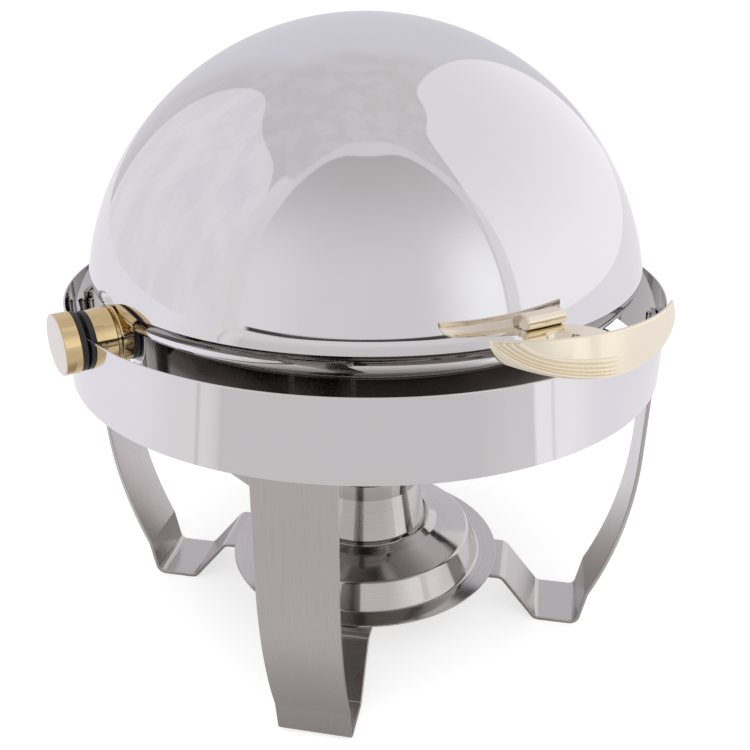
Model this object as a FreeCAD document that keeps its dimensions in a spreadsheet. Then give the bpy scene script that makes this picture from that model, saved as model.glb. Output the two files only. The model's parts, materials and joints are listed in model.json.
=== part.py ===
"""Round roll-top chafing dish: ring frame on four strip legs, turning dome, pans and fuel cup.

Millimetres, +Z up. The origin is on the floor under the middle of the whole outline. The dish's
own axis stands at Y = axis_y, because the handle reaches further forward than the ring reaches
back. The front, where the handle is, faces -Y.
"""
import FreeCAD, Part
import math
import os
import re

import Sketcher

Vector = FreeCAD.Vector

SIZES = {
    # dish axis and pivot height above the floor
    "axis_y": 22.05,
    "pivot_level": 277.0,
    # dome: a sphere whose centre lies below the pivots, with a rim that curls inward
    "dome_radius": 205.0,
    "dome_drop": 12.0,
    "dome_wall": 1.2,
    "tuck_start": 12.0,
    "tuck_radius": 24.6,
    "tuck_end": 50.5,
    # flat pad pressed into each side of the dome, where a pivot bolt goes through
    "pad_face": 187.0,
    "pad_radius": 23.0,
    "pad_flare": 0.35,
    "bolt_radius": 4.0,
    "bolt_play": 0.06,
    # ring band
    "ring_radius": 221.0,
    "ring_wall": 1.5,
    "ring_rise": 6.0,
    "ring_fall": 49.0,
    # legs: one bent strip each
    "leg_width": 53.0,
    "leg_thick": 3.0,
    "leg_reach": 216.2,
    "leg_top_drop": 14.0,
    "leg_sweep_radius": 325.0,
    "leg_sweep_angle": 23.5,
    "leg_foot_angle": 11.0,
    "leg_foot_height": 23.0,
    "leg_pad": 24.0,
    "leg_slope_angle": 51.0,
    "leg_tongue": 14.0,
    "leg_bend": 7.5,
    "weld_radius": 2.6,
    "weld_inset": 4.0,
    "fit_gap": 0.1,
    # stepped fuel plate
    "plate_radius": 113.0,
    "plate_level": 41.0,
    "plate_wall": 1.2,
    "step_foot": 97.0,
    "step_top": 88.0,
    "step_height": 21.0,
    "cone_top": 61.0,
    "cone_height": 28.0,
    "plateau": 54.0,
    "plateau_height": 31.0,
    # fuel cup and its cover
    "cup_foot": 50.0,
    "cup_neck": 44.0,
    "cup_flare_height": 36.0,
    "cup_height": 49.0,
    "cup_wall": 1.2,
    "cover_height": 9.0,
    "cover_hole": 20.0,
    "snuffer_radius": 24.0,
    "snuffer_thick": 1.2,
    "snuffer_pin": 34.0,
    # pan cradle: hoop, arms to the front legs, lugs on the pivot bolts
    "hoop_outer": 176.0,
    "hoop_inner": 172.5,
    "hoop_top": 46.0,
    "hoop_bottom": 60.0,
    "lug_width": 20.0,
    "lug_face": 184.5,
    "lug_thick": 2.5,
    "lug_head": 12.0,
    "arm_thick": 2.5,
    "arm_front_across": 167.9,
    "arm_front_along": 134.2,
    # pans
    "pan_lip": 176.0,
    "pan_wall": 1.0,
    "water_body": 171.0,
    "water_foot": 168.0,
    "water_depth": 72.0,
    "shoulder_ledge": 3.5,
    "food_body": 168.0,
    "food_foot": 161.0,
    "food_depth": 57.0,
    # pivot stack, from the knob inward
    "knob_radius": 20.0,
    "knob_face": 235.6,
    "knob_thick": 10.6,
    "knob_cap": 3.0,
    "washer_radius": 18.6,
    "washer_bow": 0.9,
    "barrel_radius": 19.4,
    "barrel_end_radius": 18.2,
    "barrel_out": 215.0,
    "barrel_split": 200.2,
    "barrel_in": 191.0,
    "groove": 1.0,
    "nut_width": 13.0,
    "nut_thick": 4.4,
    # handle: bar on the dome, pierced plate under it, crescent grip
    "handle_turn": -4.2,
    "mount_width": 28.0,
    "mount_front": 208.0,
    "mount_top": 39.5,
    "plate_under": 26.0,
    "plate_thick": 5.0,
    "plate_round": 28.0,
    "plate_reach": 230.0,
    "plate_tongue": 20.0,
    "plate_hole": 9.5,
    "hole_reach": 222.0,
    "grip_width": 130.0,
    "grip_reach": 259.5,
    "grip_curve": 112.8,
    "grip_flare": 6.0,
    "grip_high": 23.0,
    "grip_top": 47.0,
    "grip_thick": 5.0,
    "smile_radius": 165.0,
    "smile_low": 24.0,
    "screw_radius": 2.0,
    "screw_spread": 9.0,
    "screw_level": 35.0,
    "screw_end": 204.5,
    "screw_head": 196.4,
}


def leg_runs(sizes):
    """The two leg lengths that put the pads on the floor and the tongues under the plate."""
    sine = {name: math.sin(math.radians(sizes[name]))
            for name in ("leg_sweep_angle", "leg_foot_angle", "leg_slope_angle")}
    foot_cosine = math.cos(math.radians(sizes["leg_foot_angle"]))
    slope_cosine = math.cos(math.radians(sizes["leg_slope_angle"]))
    middle = sizes["leg_thick"] / 2
    bends = sizes["leg_bend"] * (sine["leg_sweep_angle"] + 1 - 2 * sine["leg_foot_angle"])
    bent_drop = (sizes["leg_sweep_radius"] * sine["leg_sweep_angle"] + bends
                 + sizes["leg_foot_height"] * foot_cosine)
    straight = sizes["pivot_level"] - sizes["leg_top_drop"] - middle - bent_drop
    climb = sizes["plate_level"] - sizes["plate_wall"] - 2 * middle
    slope = (climb - 2 * sizes["leg_bend"] * (1 - slope_cosine)) / sine["leg_slope_angle"]
    return {"leg_straight": straight, "leg_slope": slope}


SIZES.update(leg_runs(SIZES))

doc = FreeCAD.newDocument("chafing_dish")
sheet = doc.addObject("Spreadsheet::Sheet", "Dims")
for row, (alias, value) in enumerate(SIZES.items(), start=1):
    sheet.set(f"A{row}", alias)
    sheet.set(f"B{row}", str(value))
    sheet.setAlias(f"B{row}", alias)
doc.recompute()

PARTS = []


def size(name):
    """A driving size, read back from the sheet."""
    return float(getattr(sheet, name))


def bound(text):
    """The expression text with every size name pointed at the sheet."""
    return re.sub(r"[a-z]+(?:_[a-z]+)*", lambda m: "Dims." + m.group() if m.group() in SIZES
                  else m.group(), text)


def bind(thing, **properties):
    """Bind properties of an object to expressions in the sheet's sizes."""
    for name, text in properties.items():
        thing.setExpression(name.replace("__", "."), bound(text))


def value_of(thing, text):
    """What an expression in the sheet's sizes comes to."""
    result = thing.evalExpression(bound(text))
    return float(getattr(result, "Value", result))


def keep(thing, label, turn=0.0, lift="0"):
    """Name a finished sub-part and stand it on the dish's axis, turned about that axis."""
    thing.Label = label
    thing.Placement.Rotation = FreeCAD.Rotation(Vector(0, 0, 1), turn)
    bind(thing, Placement__Base__y="axis_y", Placement__Base__z=lift)
    PARTS.append(thing)
    return thing


def origin_plane(body, role):
    return next(f for f in body.Origin.OriginFeatures if f.Role == role)


def new_sketch(body, name, role):
    sketch = body.newObject("Sketcher::SketchObject", name)
    sketch.AttachmentSupport = [(origin_plane(body, role), "")]
    sketch.MapMode = "FlatFace"
    return sketch


def pin_point(sketch, geo, end, across, along):
    """Hold one point of a sketch at two expressions, measured from the sketch's origin."""
    for kind, text in (("DistanceX", across), ("DistanceY", along)):
        value = value_of(sketch, text)
        if abs(value) < 1e-9:
            on_axis = -2 if kind == "DistanceX" else -1
            sketch.addConstraint(Sketcher.Constraint("PointOnObject", geo, end, on_axis))
            continue
        index = sketch.addConstraint(Sketcher.Constraint(kind, -1, 1, geo, end, value))
        sketch.setExpression(f"Constraints[{index}]", bound(text))


def arc_between(start, end, radius, bulge):
    """The shorter arc from start to end; bulge is +1 to bow to the left of the way, -1 right."""
    middle = (start + end) * 0.5
    chord = end - start
    left = Vector(-chord.y, chord.x, 0).normalize()
    rise = radius - math.sqrt(radius ** 2 - (chord.Length / 2) ** 2)
    return Part.Arc(start, middle + left * (rise * bulge), end)


def outline(sketch, corners):
    """A closed outline. A corner is (across, along), as expressions, and may add the radius and
    bow of an arc that leads to the next corner."""
    points = [Vector(value_of(sketch, c[0]), value_of(sketch, c[1]), 0) for c in corners]
    count = len(corners)
    for i, corner in enumerate(corners):
        start, end = points[i], points[(i + 1) % count]
        if len(corner) == 2:
            sketch.addGeometry(Part.LineSegment(start, end), False)
            continue
        curve = arc_between(start, end, value_of(sketch, corner[2]), corner[3])
        sketch.addGeometry(curve, False)
    for i in range(count):
        this_end, next_start = end_at(sketch, i, points[(i + 1) % count])
        other, _ = end_at(sketch, (i + 1) % count, points[(i + 1) % count])
        sketch.addConstraint(Sketcher.Constraint("Coincident", i, this_end, (i + 1) % count, other))
    for i, corner in enumerate(corners):
        start_end, _ = end_at(sketch, i, points[i])
        pin_point(sketch, i, start_end, corner[0], corner[1])
        if len(corner) > 2:
            radius = value_of(sketch, corner[2])
            index = sketch.addConstraint(Sketcher.Constraint("Radius", i, radius))
            sketch.setExpression(f"Constraints[{index}]", bound(corner[2]))


def end_at(sketch, geo, point):
    """Which end of a sketch edge, 1 or 2, lies at the point, and the other one."""
    near = min((1, 2), key=lambda end: sketch.getPoint(geo, end).distanceToPoint(point))
    return near, 3 - near


def lathe(label, corners):
    """A turned piece: an outline of (radius, height) spun about the dish's axis."""
    body = doc.addObject("PartDesign::Body", label)
    sketch = new_sketch(body, label + "_outline", "XZ_Plane")
    outline(sketch, corners)
    spin = body.newObject("PartDesign::Revolution", label + "_spin")
    spin.Profile = sketch
    spin.ReferenceAxis = (sketch, ["V_Axis"])
    spin.Angle = 360
    doc.recompute()
    return body


def stand(thing, x="0", y="0", z="0", axis=(0, 0, 1), angle=0.0):
    """Place a primitive inside its sub-part."""
    thing.Placement.Rotation = FreeCAD.Rotation(Vector(*axis), angle)
    bind(thing, Placement__Base__x=x, Placement__Base__y=y, Placement__Base__z=z)
    return thing


def primitive(kind, name, **properties):
    thing = doc.addObject("Part::" + kind, name)
    bind(thing, **properties)
    return thing


def rod(name, radius, length, x="0", y="0", z="0", axis=(0, 0, 1), angle=0.0):
    thing = primitive("Cylinder", name, Radius=radius, Height=length)
    return stand(thing, x, y, z, axis, angle)


def block(name, length, width, height, x, y, z):
    thing = primitive("Box", name, Length=length, Width=width, Height=height)
    return stand(thing, x, y, z)


def cut(name, base, tool):
    thing = doc.addObject("Part::Cut", name)
    thing.Base, thing.Tool = base, tool
    return thing


def fused(name, shapes):
    thing = doc.addObject("Part::MultiFuse", name)
    thing.Shapes = shapes
    return thing


def together(name, shapes):
    """Several separate solids that share one node."""
    thing = doc.addObject("Part::Compound", name)
    thing.Links = shapes
    return thing


# ---------------------------------------------------------------- frame

ALONG_X = ((0, 1, 0), 90.0)
SIDES = (("left", -1), ("right", 1))


def make_ring():
    """The mirror band, with rounded edges and a bolt hole on each side."""
    inner = "ring_radius - ring_wall"
    body = lathe("frame_ring", [
        (inner, "-ring_fall", "ring_wall * 0.6", -1),
        ("ring_radius", "-ring_fall"),
        ("ring_radius", "ring_rise", "ring_wall * 0.6", -1),
        (inner, "ring_rise"),
    ])
    sketch = new_sketch(body, "ring_bolt_hole", "YZ_Plane")
    sketch.addGeometry(Part.Circle(Vector(0, 0, 0), Vector(0, 0, 1), size("bolt_radius")), False)
    sketch.addConstraint(Sketcher.Constraint("Coincident", 0, 3, -1, 1))
    index = sketch.addConstraint(Sketcher.Constraint("Radius", 0, size("bolt_radius")))
    sketch.setExpression(f"Constraints[{index}]", bound("bolt_radius + bolt_play"))
    before = body.Shape.Volume
    hole = body.newObject("PartDesign::Pocket", "ring_bolt_pocket")
    hole.Profile = sketch
    hole.Midplane = True
    bind(hole, Length="ring_radius * 2.2")
    doc.recompute()
    if body.Shape.Volume >= before:
        raise RuntimeError("the bolt holes cut nothing from the ring")
    keep(body, "frame_ring", lift="pivot_level")


def leg_path(sketch):
    """The strip's middle line, from its top end down and in: straight runs joined by arcs."""
    sweep, foot, slope = size("leg_sweep_angle"), size("leg_foot_angle"), size("leg_slope_angle")
    steps = [
        ("run", "leg_straight"),
        ("turn", "leg_sweep_radius", -sweep),
        ("turn", "leg_bend", sweep - foot),
        ("run", "leg_foot_height"),
        ("turn", "leg_bend", foot - 90.0),
        ("run", "leg_pad"),
        ("turn", "leg_bend", -slope),
        ("run", "leg_slope"),
        ("turn", "leg_bend", slope),
        ("run", "leg_tongue"),
    ]
    place, heading = Vector(0, 0, 0), -90.0
    for i, step in enumerate(steps):
        along = Vector(math.cos(math.radians(heading)), math.sin(math.radians(heading)), 0)
        if step[0] == "run":
            end = place + along * size(step[1])
            sketch.addGeometry(Part.LineSegment(place, end), False)
        else:
            radius, angle = size(step[1]), math.radians(step[2])
            side = math.copysign(1.0, angle)
            left = Vector(-along.y, along.x, 0) * side
            centre = place + left * radius
            spoke = place - centre
            middle = centre + turned(spoke, angle / 2)
            end = centre + turned(spoke, angle)
            sketch.addGeometry(Part.Arc(place, middle, end), False)
            heading += step[2]
        if step[0] == "run":
            index = sketch.addConstraint(Sketcher.Constraint("Distance", i, size(step[1])))
        else:
            index = sketch.addConstraint(Sketcher.Constraint("Radius", i, size(step[1])))
        sketch.setExpression(f"Constraints[{index}]", bound(step[1]))
        if i:
            before, _ = end_at(sketch, i - 1, place)
            after, _ = end_at(sketch, i, place)
            sketch.addConstraint(Sketcher.Constraint("Tangent", i - 1, before, i, after))
        place = end
    sketch.addConstraint(Sketcher.Constraint("Coincident", 0, 1, -1, 1))
    return place


def turned(vector, angle):
    return FreeCAD.Rotation(Vector(0, 0, 1), math.degrees(angle)).multVec(vector)


def make_leg(label, turn):
    """One strip leg: a rectangle swept down the bent path."""
    body = doc.addObject("PartDesign::Body", label)
    path = new_sketch(body, label + "_path", "XZ_Plane")
    leg_path(path)
    section = new_sketch(body, label + "_section", "XY_Plane")
    half_thick, half_wide = "leg_thick / 2", "leg_width / 2"
    outline(section, [
        ("-" + half_thick, "-" + half_wide),
        (half_thick, "-" + half_wide),
        (half_thick, half_wide),
        ("-" + half_thick, half_wide),
    ])
    sweep = body.newObject("PartDesign::AdditivePipe", label + "_sweep")
    sweep.Profile = section
    sweep.Spine = path
    doc.recompute()
    radians = math.radians(turn)
    body.Label = label
    body.Placement.Rotation = FreeCAD.Rotation(Vector(0, 0, 1), turn)
    bind(body, Placement__Base__x=f"leg_reach * {math.cos(radians):.9f}",
         Placement__Base__y=f"axis_y + leg_reach * {math.sin(radians):.9f}",
         Placement__Base__z="pivot_level - leg_top_drop")
    PARTS.append(body)


def make_legs():
    """Four legs on the diagonals, and the weld beads that hold them inside the ring."""
    places = (("front_left", -135.0), ("front_right", -45.0), ("rear_left", 135.0), ("rear_right", 45.0))
    beads = []
    for name, turn in places:
        make_leg("leg_" + name, turn)
        for side in (-1, 1):
            bead = rod(f"bead_{name}_{side}", "weld_radius", "ring_fall - leg_top_drop - weld_inset")
            half_wide = size("leg_width") / 2 + size("weld_radius") + size("fit_gap")
            reach = size("ring_radius") - size("ring_wall") - size("weld_radius") - size("fit_gap")
            angle = math.radians(turn) + side * math.asin(half_wide / reach)
            stand(bead, f"{reach * math.cos(angle):.6f}", f"{reach * math.sin(angle):.6f}",
                  "-ring_fall")
            beads.append(bead)
    keep(together("weld_beads", beads), "leg_welds", lift="pivot_level")


def make_fuel_plate():
    """The stamped, stepped tray that the legs carry."""
    w = "plate_wall"
    keep(lathe("fuel_plate", [
        ("0", f"plateau_height - {w}"),
        ("plateau", f"plateau_height - {w}"),
        ("cone_top", f"cone_height - {w}"),
        (f"step_top - {w}", f"step_height - {w}"),
        (f"step_foot - {w}", f"-{w}"),
        ("plate_radius", f"-{w}"),
        ("plate_radius", "0"),
        ("step_foot", "0"),
        ("step_top", "step_height"),
        ("cone_top", "cone_height"),
        ("plateau", "plateau_height"),
        ("0", "plateau_height"),
    ]), "fuel_plate", lift="plate_level")


def make_cradle():
    """The hoop that carries the water pan, its two arms and its two lugs."""
    keep(lathe("pan_cradle", [
        ("hoop_inner", "-hoop_bottom"),
        ("hoop_outer", "-hoop_bottom"),
        ("hoop_outer", "-hoop_top"),
        ("hoop_inner", "-hoop_top"),
    ]), "pan_cradle", lift="pivot_level")
    for name, side in SIDES:
        make_arm(name, side)
    for name, side in SIDES:
        make_lug(name, side)


def make_arm(name, side):
    """A flat bar on edge, from the front leg's inner face back to the lug."""
    across = size("lug_face") - size("lug_thick") / 2 - size("arm_front_across")
    along = size("arm_front_along") - size("lug_width") / 2
    lean = math.degrees(math.atan2(across, along))
    bar = block(f"arm_bar_{name}", "arm_thick", f"{math.hypot(across, along):.6f} - fit_gap * 2",
                "hoop_bottom - hoop_top", "-arm_thick / 2", "0", "0")
    arm = together(f"arm_{name}", [bar])
    keep(arm, f"cradle_arm_{name}", -side * lean, "pivot_level - hoop_bottom")
    bind(arm, Placement__Base__x=f"{side} * arm_front_across",
         Placement__Base__y="axis_y - arm_front_along")


def make_lug(name, side):
    """An angle bracket: its foot is under the hoop and its eye is on the pivot bolt."""
    body = doc.addObject("PartDesign::Body", "lug_body_" + name)
    sketch = new_sketch(body, "lug_outline_" + name, "XZ_Plane")
    mark = "" if side > 0 else "-1 * "
    foot = "-hoop_bottom - lug_thick"
    outline(sketch, [
        (f"{mark}(hoop_inner)", foot),
        (f"{mark}(lug_face)", foot),
        (f"{mark}(lug_face)", "lug_head"),
        (f"{mark}(lug_face - lug_thick)", "lug_head"),
        (f"{mark}(lug_face - lug_thick)", "-hoop_bottom"),
        (f"{mark}(hoop_inner)", "-hoop_bottom"),
    ])
    pad = body.newObject("PartDesign::Pad", "lug_pad_" + name)
    pad.Profile = sketch
    pad.Midplane = True
    bind(pad, Length="lug_width")
    doc.recompute()
    eye = rod("lug_eye_" + name, "bolt_radius + bolt_play", "40",
              f"{side} * lug_face - 20", axis=ALONG_X[0], angle=ALONG_X[1])
    keep(cut("lug_" + name, body, eye), "cradle_lug_" + name, lift="pivot_level")


# ---------------------------------------------------------------- pivots

def collar(label, outer, start, end, side, name, inner="bolt_radius + bolt_play"):
    """A bored disc on the pivot axis, from start out to end."""
    outside = rod(f"{label}_{name}_disc", outer, f"{end} - ({start})",
                  place_on_pivot(side, start, end), axis=ALONG_X[0], angle=ALONG_X[1])
    bore = rod(f"{label}_{name}_bore", inner, f"{end} - ({start}) + 2",
               place_on_pivot(side, f"{start} - 1", f"{end} + 1"), axis=ALONG_X[0], angle=ALONG_X[1])
    return cut(f"{label}_{name}", outside, bore)


def place_on_pivot(side, start, end):
    """Where a rod along +X begins, to cover start to end on one side of the dish."""
    return start if side > 0 else f"-({end})"


def barrel(label, near, far, near_radius, far_radius, side, name):
    """Half of the brass spacer: a bored cone frustum between two distances from the axis."""
    first, last = (near_radius, far_radius) if side > 0 else (far_radius, near_radius)
    cone = primitive("Cone", f"{label}_{name}_cone", Radius1=first, Radius2=last,
                     Height=f"{far} - ({near})")
    stand(cone, place_on_pivot(side, near, far), axis=ALONG_X[0], angle=ALONG_X[1])
    bore = rod(f"{label}_{name}_bore", "bolt_radius + bolt_play", f"{far} - ({near}) + 2",
               place_on_pivot(side, f"{near} - 1", f"{far} + 1"), axis=ALONG_X[0], angle=ALONG_X[1])
    return cut(f"{label}_{name}", cone, bore)


def make_pivots():
    """Bolt, knob, rubber washers, two-part brass spacer and nut on each side."""
    ring_inside = "ring_radius - ring_wall - washer_bow"
    for name, side in SIDES:
        knob = rod(f"knob_{name}_disc", "knob_radius", "knob_thick",
                   place_on_pivot(side, "knob_face - knob_thick", "knob_face"),
                   axis=ALONG_X[0], angle=ALONG_X[1])
        socket = rod(f"knob_{name}_bore", "bolt_radius", "knob_thick",
                     place_on_pivot(side, "knob_face - knob_thick - knob_cap", "knob_face - knob_cap"),
                     axis=ALONG_X[0], angle=ALONG_X[1])
        keep(cut(f"knob_{name}", knob, socket), f"pivot_knob_{name}", lift="pivot_level")
        stack = (
            ("knob_washer", "washer_radius + 0.8", "ring_radius + fit_gap", "knob_face - knob_thick"),
            ("ring_washer", "washer_radius", "barrel_out", ring_inside),
            ("dome_washer", "washer_radius", "pad_face + fit_gap * 2", "barrel_in"),
            ("thrust_washer", "bolt_radius + 5", "lug_face", "pad_face - dome_wall - fit_gap * 2"),
        )
        for label, outer, start, end in stack:
            keep(collar(label, outer, start, end, side, name), f"{label}_{name}", lift="pivot_level")
        keep(barrel("barrel_outer", "barrel_split + groove", "barrel_out", "barrel_radius",
                    "barrel_end_radius", side, name), f"barrel_outer_{name}", lift="pivot_level")
        keep(barrel("barrel_inner", "barrel_in", "barrel_split - groove", "barrel_end_radius",
                    "barrel_radius", side, name), f"barrel_inner_{name}", lift="pivot_level")
        bolt_end = "lug_face - lug_thick - nut_thick - 0.4"
        shank = rod(f"bolt_{name}", "bolt_radius", f"knob_face - knob_cap - ({bolt_end})",
                    place_on_pivot(side, bolt_end, "knob_face - knob_cap"),
                    axis=ALONG_X[0], angle=ALONG_X[1])
        keep(together(f"bolt_whole_{name}", [shank]), f"pivot_bolt_{name}", lift="pivot_level")
        make_nut(name, side)


def make_nut(name, side):
    prism = primitive("Prism", f"nut_{name}_prism", Circumradius="nut_width / 2 / cos(30)",
                      Height="nut_thick")
    prism.Polygon = 6
    start, end = "lug_face - lug_thick - nut_thick", "lug_face - lug_thick"
    stand(prism, place_on_pivot(side, start, end), axis=ALONG_X[0], angle=ALONG_X[1])
    bore = rod(f"nut_{name}_bore", "bolt_radius", "nut_thick + 2",
               place_on_pivot(side, f"{start} - 1", f"{end} + 1"),
               axis=ALONG_X[0], angle=ALONG_X[1])
    keep(cut(f"nut_{name}", prism, bore), f"pivot_nut_{name}", lift="pivot_level")


# ---------------------------------------------------------------- dome and handle

def dome_solid(label, inset):
    """The dome's filled outline, set in by the wall or not at all: sphere, then inward curl."""
    radius = f"(dome_radius - {inset})"
    curl = f"(tuck_radius - {inset})"
    across = "(dome_radius - tuck_radius) * cos(tuck_start)"
    height = "(dome_radius - tuck_radius) * sin(tuck_start) - dome_drop"
    rim_radius = f"{across} + {curl} * cos(tuck_end)"
    rim_height = f"{height} - {curl} * sin(tuck_end)"
    low = "(dome_radius - tuck_radius) * sin(tuck_start) - dome_drop - tuck_radius * sin(tuck_end)"
    corners = [
        ("0", low if inset == "0" else rim_height),
        (rim_radius, rim_height, curl, -1),
        (f"{radius} * cos(tuck_start)", f"{radius} * sin(tuck_start) - dome_drop", radius, -1),
        ("0", f"{radius} - dome_drop"),
    ]
    return lathe(label, corners)


def pad_tool(name, side, inset):
    """The space outside one pressed pad: a cone that opens away from the dome."""
    depth = "(dome_radius - pad_face) * 2"
    narrow, wide = f"pad_radius + {inset}", f"pad_radius + {inset} + pad_flare * {depth}"
    first, last = (narrow, wide) if side > 0 else (wide, narrow)
    cone = primitive("Cone", name, Radius1=first, Radius2=last, Height=depth)
    start = f"pad_face - {inset}"
    return stand(cone, place_on_pivot(side, start, f"{start} + {depth}"),
                 axis=ALONG_X[0], angle=ALONG_X[1])


def put_on_handle(thing, y="0", z="0"):
    """Turn a piece about the dish's axis to where the handle points."""
    thing.Placement.Rotation = FreeCAD.Rotation(Vector(0, 0, 1), size("handle_turn"))
    bind(thing, Placement__Base__y=y, Placement__Base__z=z)
    return thing


def keep_on_handle(thing, label):
    """Name a finished piece of the handle and put it in its place."""
    put_on_handle(keep(thing, label), "axis_y", "pivot_level")


def dome_ball(name, grow):
    """The dome's sphere, grown by some amount."""
    return stand(primitive("Sphere", name, Radius=f"dome_radius + {grow}"), z="-dome_drop")


def screw_rods(name, radius, near, far):
    """A pair of rods where the handle's screws go, from near to far out along the handle."""
    return [rod(f"{name}_{side}", radius, f"{far} - ({near})", f"{side} * screw_spread",
                f"-({near})", "screw_level", axis=(1, 0, 0), angle=90.0) for side in (-1, 1)]


def make_dome():
    """The rolling cover: a thin shell with a flat pad and an ear at each pivot."""
    outer = fused("pads_outside", [pad_tool("pad_left_out", -1, "0"),
                                   pad_tool("pad_right_out", 1, "0")])
    inner = fused("pads_inside", [pad_tool("pad_left_in", -1, "dome_wall"),
                                  pad_tool("pad_right_in", 1, "dome_wall")])
    skin = cut("dome_skin", dome_solid("dome_outer", "0"), outer)
    hollow = cut("dome_hollow", dome_solid("dome_inner", "dome_wall"), inner)
    mouth = rod("dome_mouth", "dome_radius - dome_wall - tuck_radius * 0.45", "tuck_radius",
                z="-tuck_radius / 6")
    shell = cut("dome_shell", cut("dome_thin", skin, hollow), mouth)
    ears = []
    for name, side in SIDES:
        start, end = "pad_face - dome_wall", "pad_face"
        ears.append(rod(f"ear_{name}", "pad_radius", "dome_wall", place_on_pivot(side, start, end),
                        axis=ALONG_X[0], angle=ALONG_X[1]))
    whole = fused("dome_with_ears", [shell] + ears)
    eyes = rod("ear_eyes", "bolt_radius + bolt_play", "2 * dome_radius", "-dome_radius",
               axis=ALONG_X[0], angle=ALONG_X[1])
    screw_holes = together("dome_screw_holes", screw_rods("dome_hole", "screw_radius",
                                                          "dome_radius * 0.9", "dome_radius"))
    put_on_handle(screw_holes)
    keep(cut("dome", whole, fused("dome_holes", [eyes, screw_holes])), "dome_cover",
         lift="pivot_level")


def make_handle_mount():
    """Round-nosed bar that hugs the dome just above the pierced plate."""
    body = doc.addObject("PartDesign::Body", "mount_body")
    sketch = new_sketch(body, "mount_outline", "YZ_Plane")
    low = "plate_under + plate_thick + fit_gap / 2"
    nose = f"(mount_top - ({low})) / 2"
    outline(sketch, [
        ("-dome_radius * 0.93", low),
        (f"{nose} - mount_front", low, f"{nose} * 1.02", 1),
        (f"{nose} - mount_front", "mount_top"),
        ("-dome_radius * 0.93", "mount_top"),
    ])
    pad = body.newObject("PartDesign::Pad", "mount_pad")
    pad.Profile = sketch
    pad.Midplane = True
    bind(pad, Length="mount_width")
    doc.recompute()
    bar = cut("mount_bar", body, dome_ball("mount_seat", "fit_gap / 4"))
    holes = fused("mount_holes", screw_rods("mount_hole", "screw_radius", "dome_radius * 0.9",
                                            "screw_end"))
    keep_on_handle(cut("mount", bar, holes), "handle_mount")


def make_handle_arm():
    """The pierced plate that stands out from the dome under the bar and carries the grip."""
    root = block("arm_root", "mount_width", "plate_reach - dome_radius * 0.93", "plate_thick",
                 "-mount_width / 2", "-plate_reach", "plate_under")
    disc = rod("arm_disc", "plate_round", "plate_thick", y="-plate_reach", z="plate_under")
    tongue = block("arm_tongue", "plate_tongue * 2", "grip_reach + grip_flare - plate_reach",
                   "plate_thick", "-plate_tongue", "-grip_reach - grip_flare", "plate_under")
    whole = fused("arm_blank", [root, disc, tongue])
    fitted = doc.addObject("Part::Common", "arm_inside_grip")
    fitted.Base, fitted.Tool = whole, grip_cone("arm_fit", "grip_thick + fit_gap / 2")
    hole = rod("arm_bore", "plate_hole", "plate_thick * 3", y="-hole_reach",
               z="plate_under - plate_thick")
    bored = cut("arm_bored", fitted, hole)
    keep_on_handle(cut("arm", bored, dome_ball("arm_seat", "fit_gap / 4")), "handle_arm")


def grip_cone(name, inset):
    """The cone that the grip is bent round, set in by some of its thickness."""
    cone = primitive("Cone", name, Radius1=f"grip_curve + grip_flare - ({inset})",
                     Radius2=f"grip_curve - ({inset})", Height="grip_high")
    return stand(cone, y="grip_curve - grip_reach", z="grip_top - grip_high")


def make_grip():
    """Crescent grip: a band of a cone, cut to a smile below, flat on top and square at its tips."""
    band = cut("grip_band", grip_cone("grip_out", "0"), grip_cone("grip_in", "grip_thick"))
    smile = rod("grip_smile", "smile_radius", "grip_curve * 2", y="-dome_radius",
                z="smile_low + smile_radius", axis=(1, 0, 0), angle=90.0)
    between = block("grip_between", "grip_width", "grip_curve * 2", "grip_high", "-grip_width / 2",
                    "-dome_radius - grip_curve * 2", "grip_top - grip_high")
    crescent = doc.addObject("Part::MultiCommon", "crescent")
    crescent.Shapes = [band, smile, between]
    keep_on_handle(crescent, "handle_grip")


def make_handle_screws():
    """Two pan-head screws, driven from inside the dome into the bar."""
    shanks = screw_rods("screw_shank", "screw_radius - fit_gap / 5", "screw_head - screw_radius / 2",
                        "screw_end - fit_gap")
    heads = screw_rods("screw_cap", "screw_radius * 2", "screw_head - screw_radius", "screw_head")
    screws = [fused(f"screw_{i}", [shank, cap]) for i, (shank, cap) in enumerate(zip(shanks, heads))]
    keep_on_handle(together("screws", screws), "handle_screws")


# ---------------------------------------------------------------- pans and burner

def make_pans():
    """The water pan sits on the hoop by its shoulder; the food pan hangs in it by its flange."""
    w = "pan_wall"
    upper = "water_body + shoulder_ledge"
    keep(lathe("water_pan", [
        ("0", "-water_depth"),
        ("water_foot - 7", "-water_depth", "8", -1),
        ("water_foot", "7 - water_depth"),
        ("water_body", "-hoop_top"),
        (upper, "-hoop_top"),
        (upper, f"-2 - {w}"),
        ("pan_lip", f"-2 - {w}"),
        ("pan_lip", "-2"),
        (f"{upper} - {w}", "-2"),
        (f"{upper} - {w}", f"{w} - hoop_top"),
        (f"water_body - {w}", f"{w} - hoop_top"),
        (f"water_foot - {w}", "7 - water_depth", f"8 - {w}", 1),
        ("water_foot - 7", f"{w} - water_depth"),
        ("0", f"{w} - water_depth"),
    ]), "water_pan", lift="pivot_level")
    keep(lathe("food_pan", [
        ("0", "-food_depth"),
        ("food_foot - 12", "-food_depth", "13", -1),
        ("food_foot", "12 - food_depth"),
        ("food_body", "-1.9"),
        ("pan_lip", "-1.9"),
        ("pan_lip", f"{w} - 1.9"),
        (f"food_body - {w}", f"{w} - 1.9"),
        (f"food_foot - {w}", "12 - food_depth", f"13 - {w}", 1),
        ("food_foot - 12", f"{w} - food_depth"),
        ("0", f"{w} - food_depth"),
    ]), "food_pan", lift="pivot_level")


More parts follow.
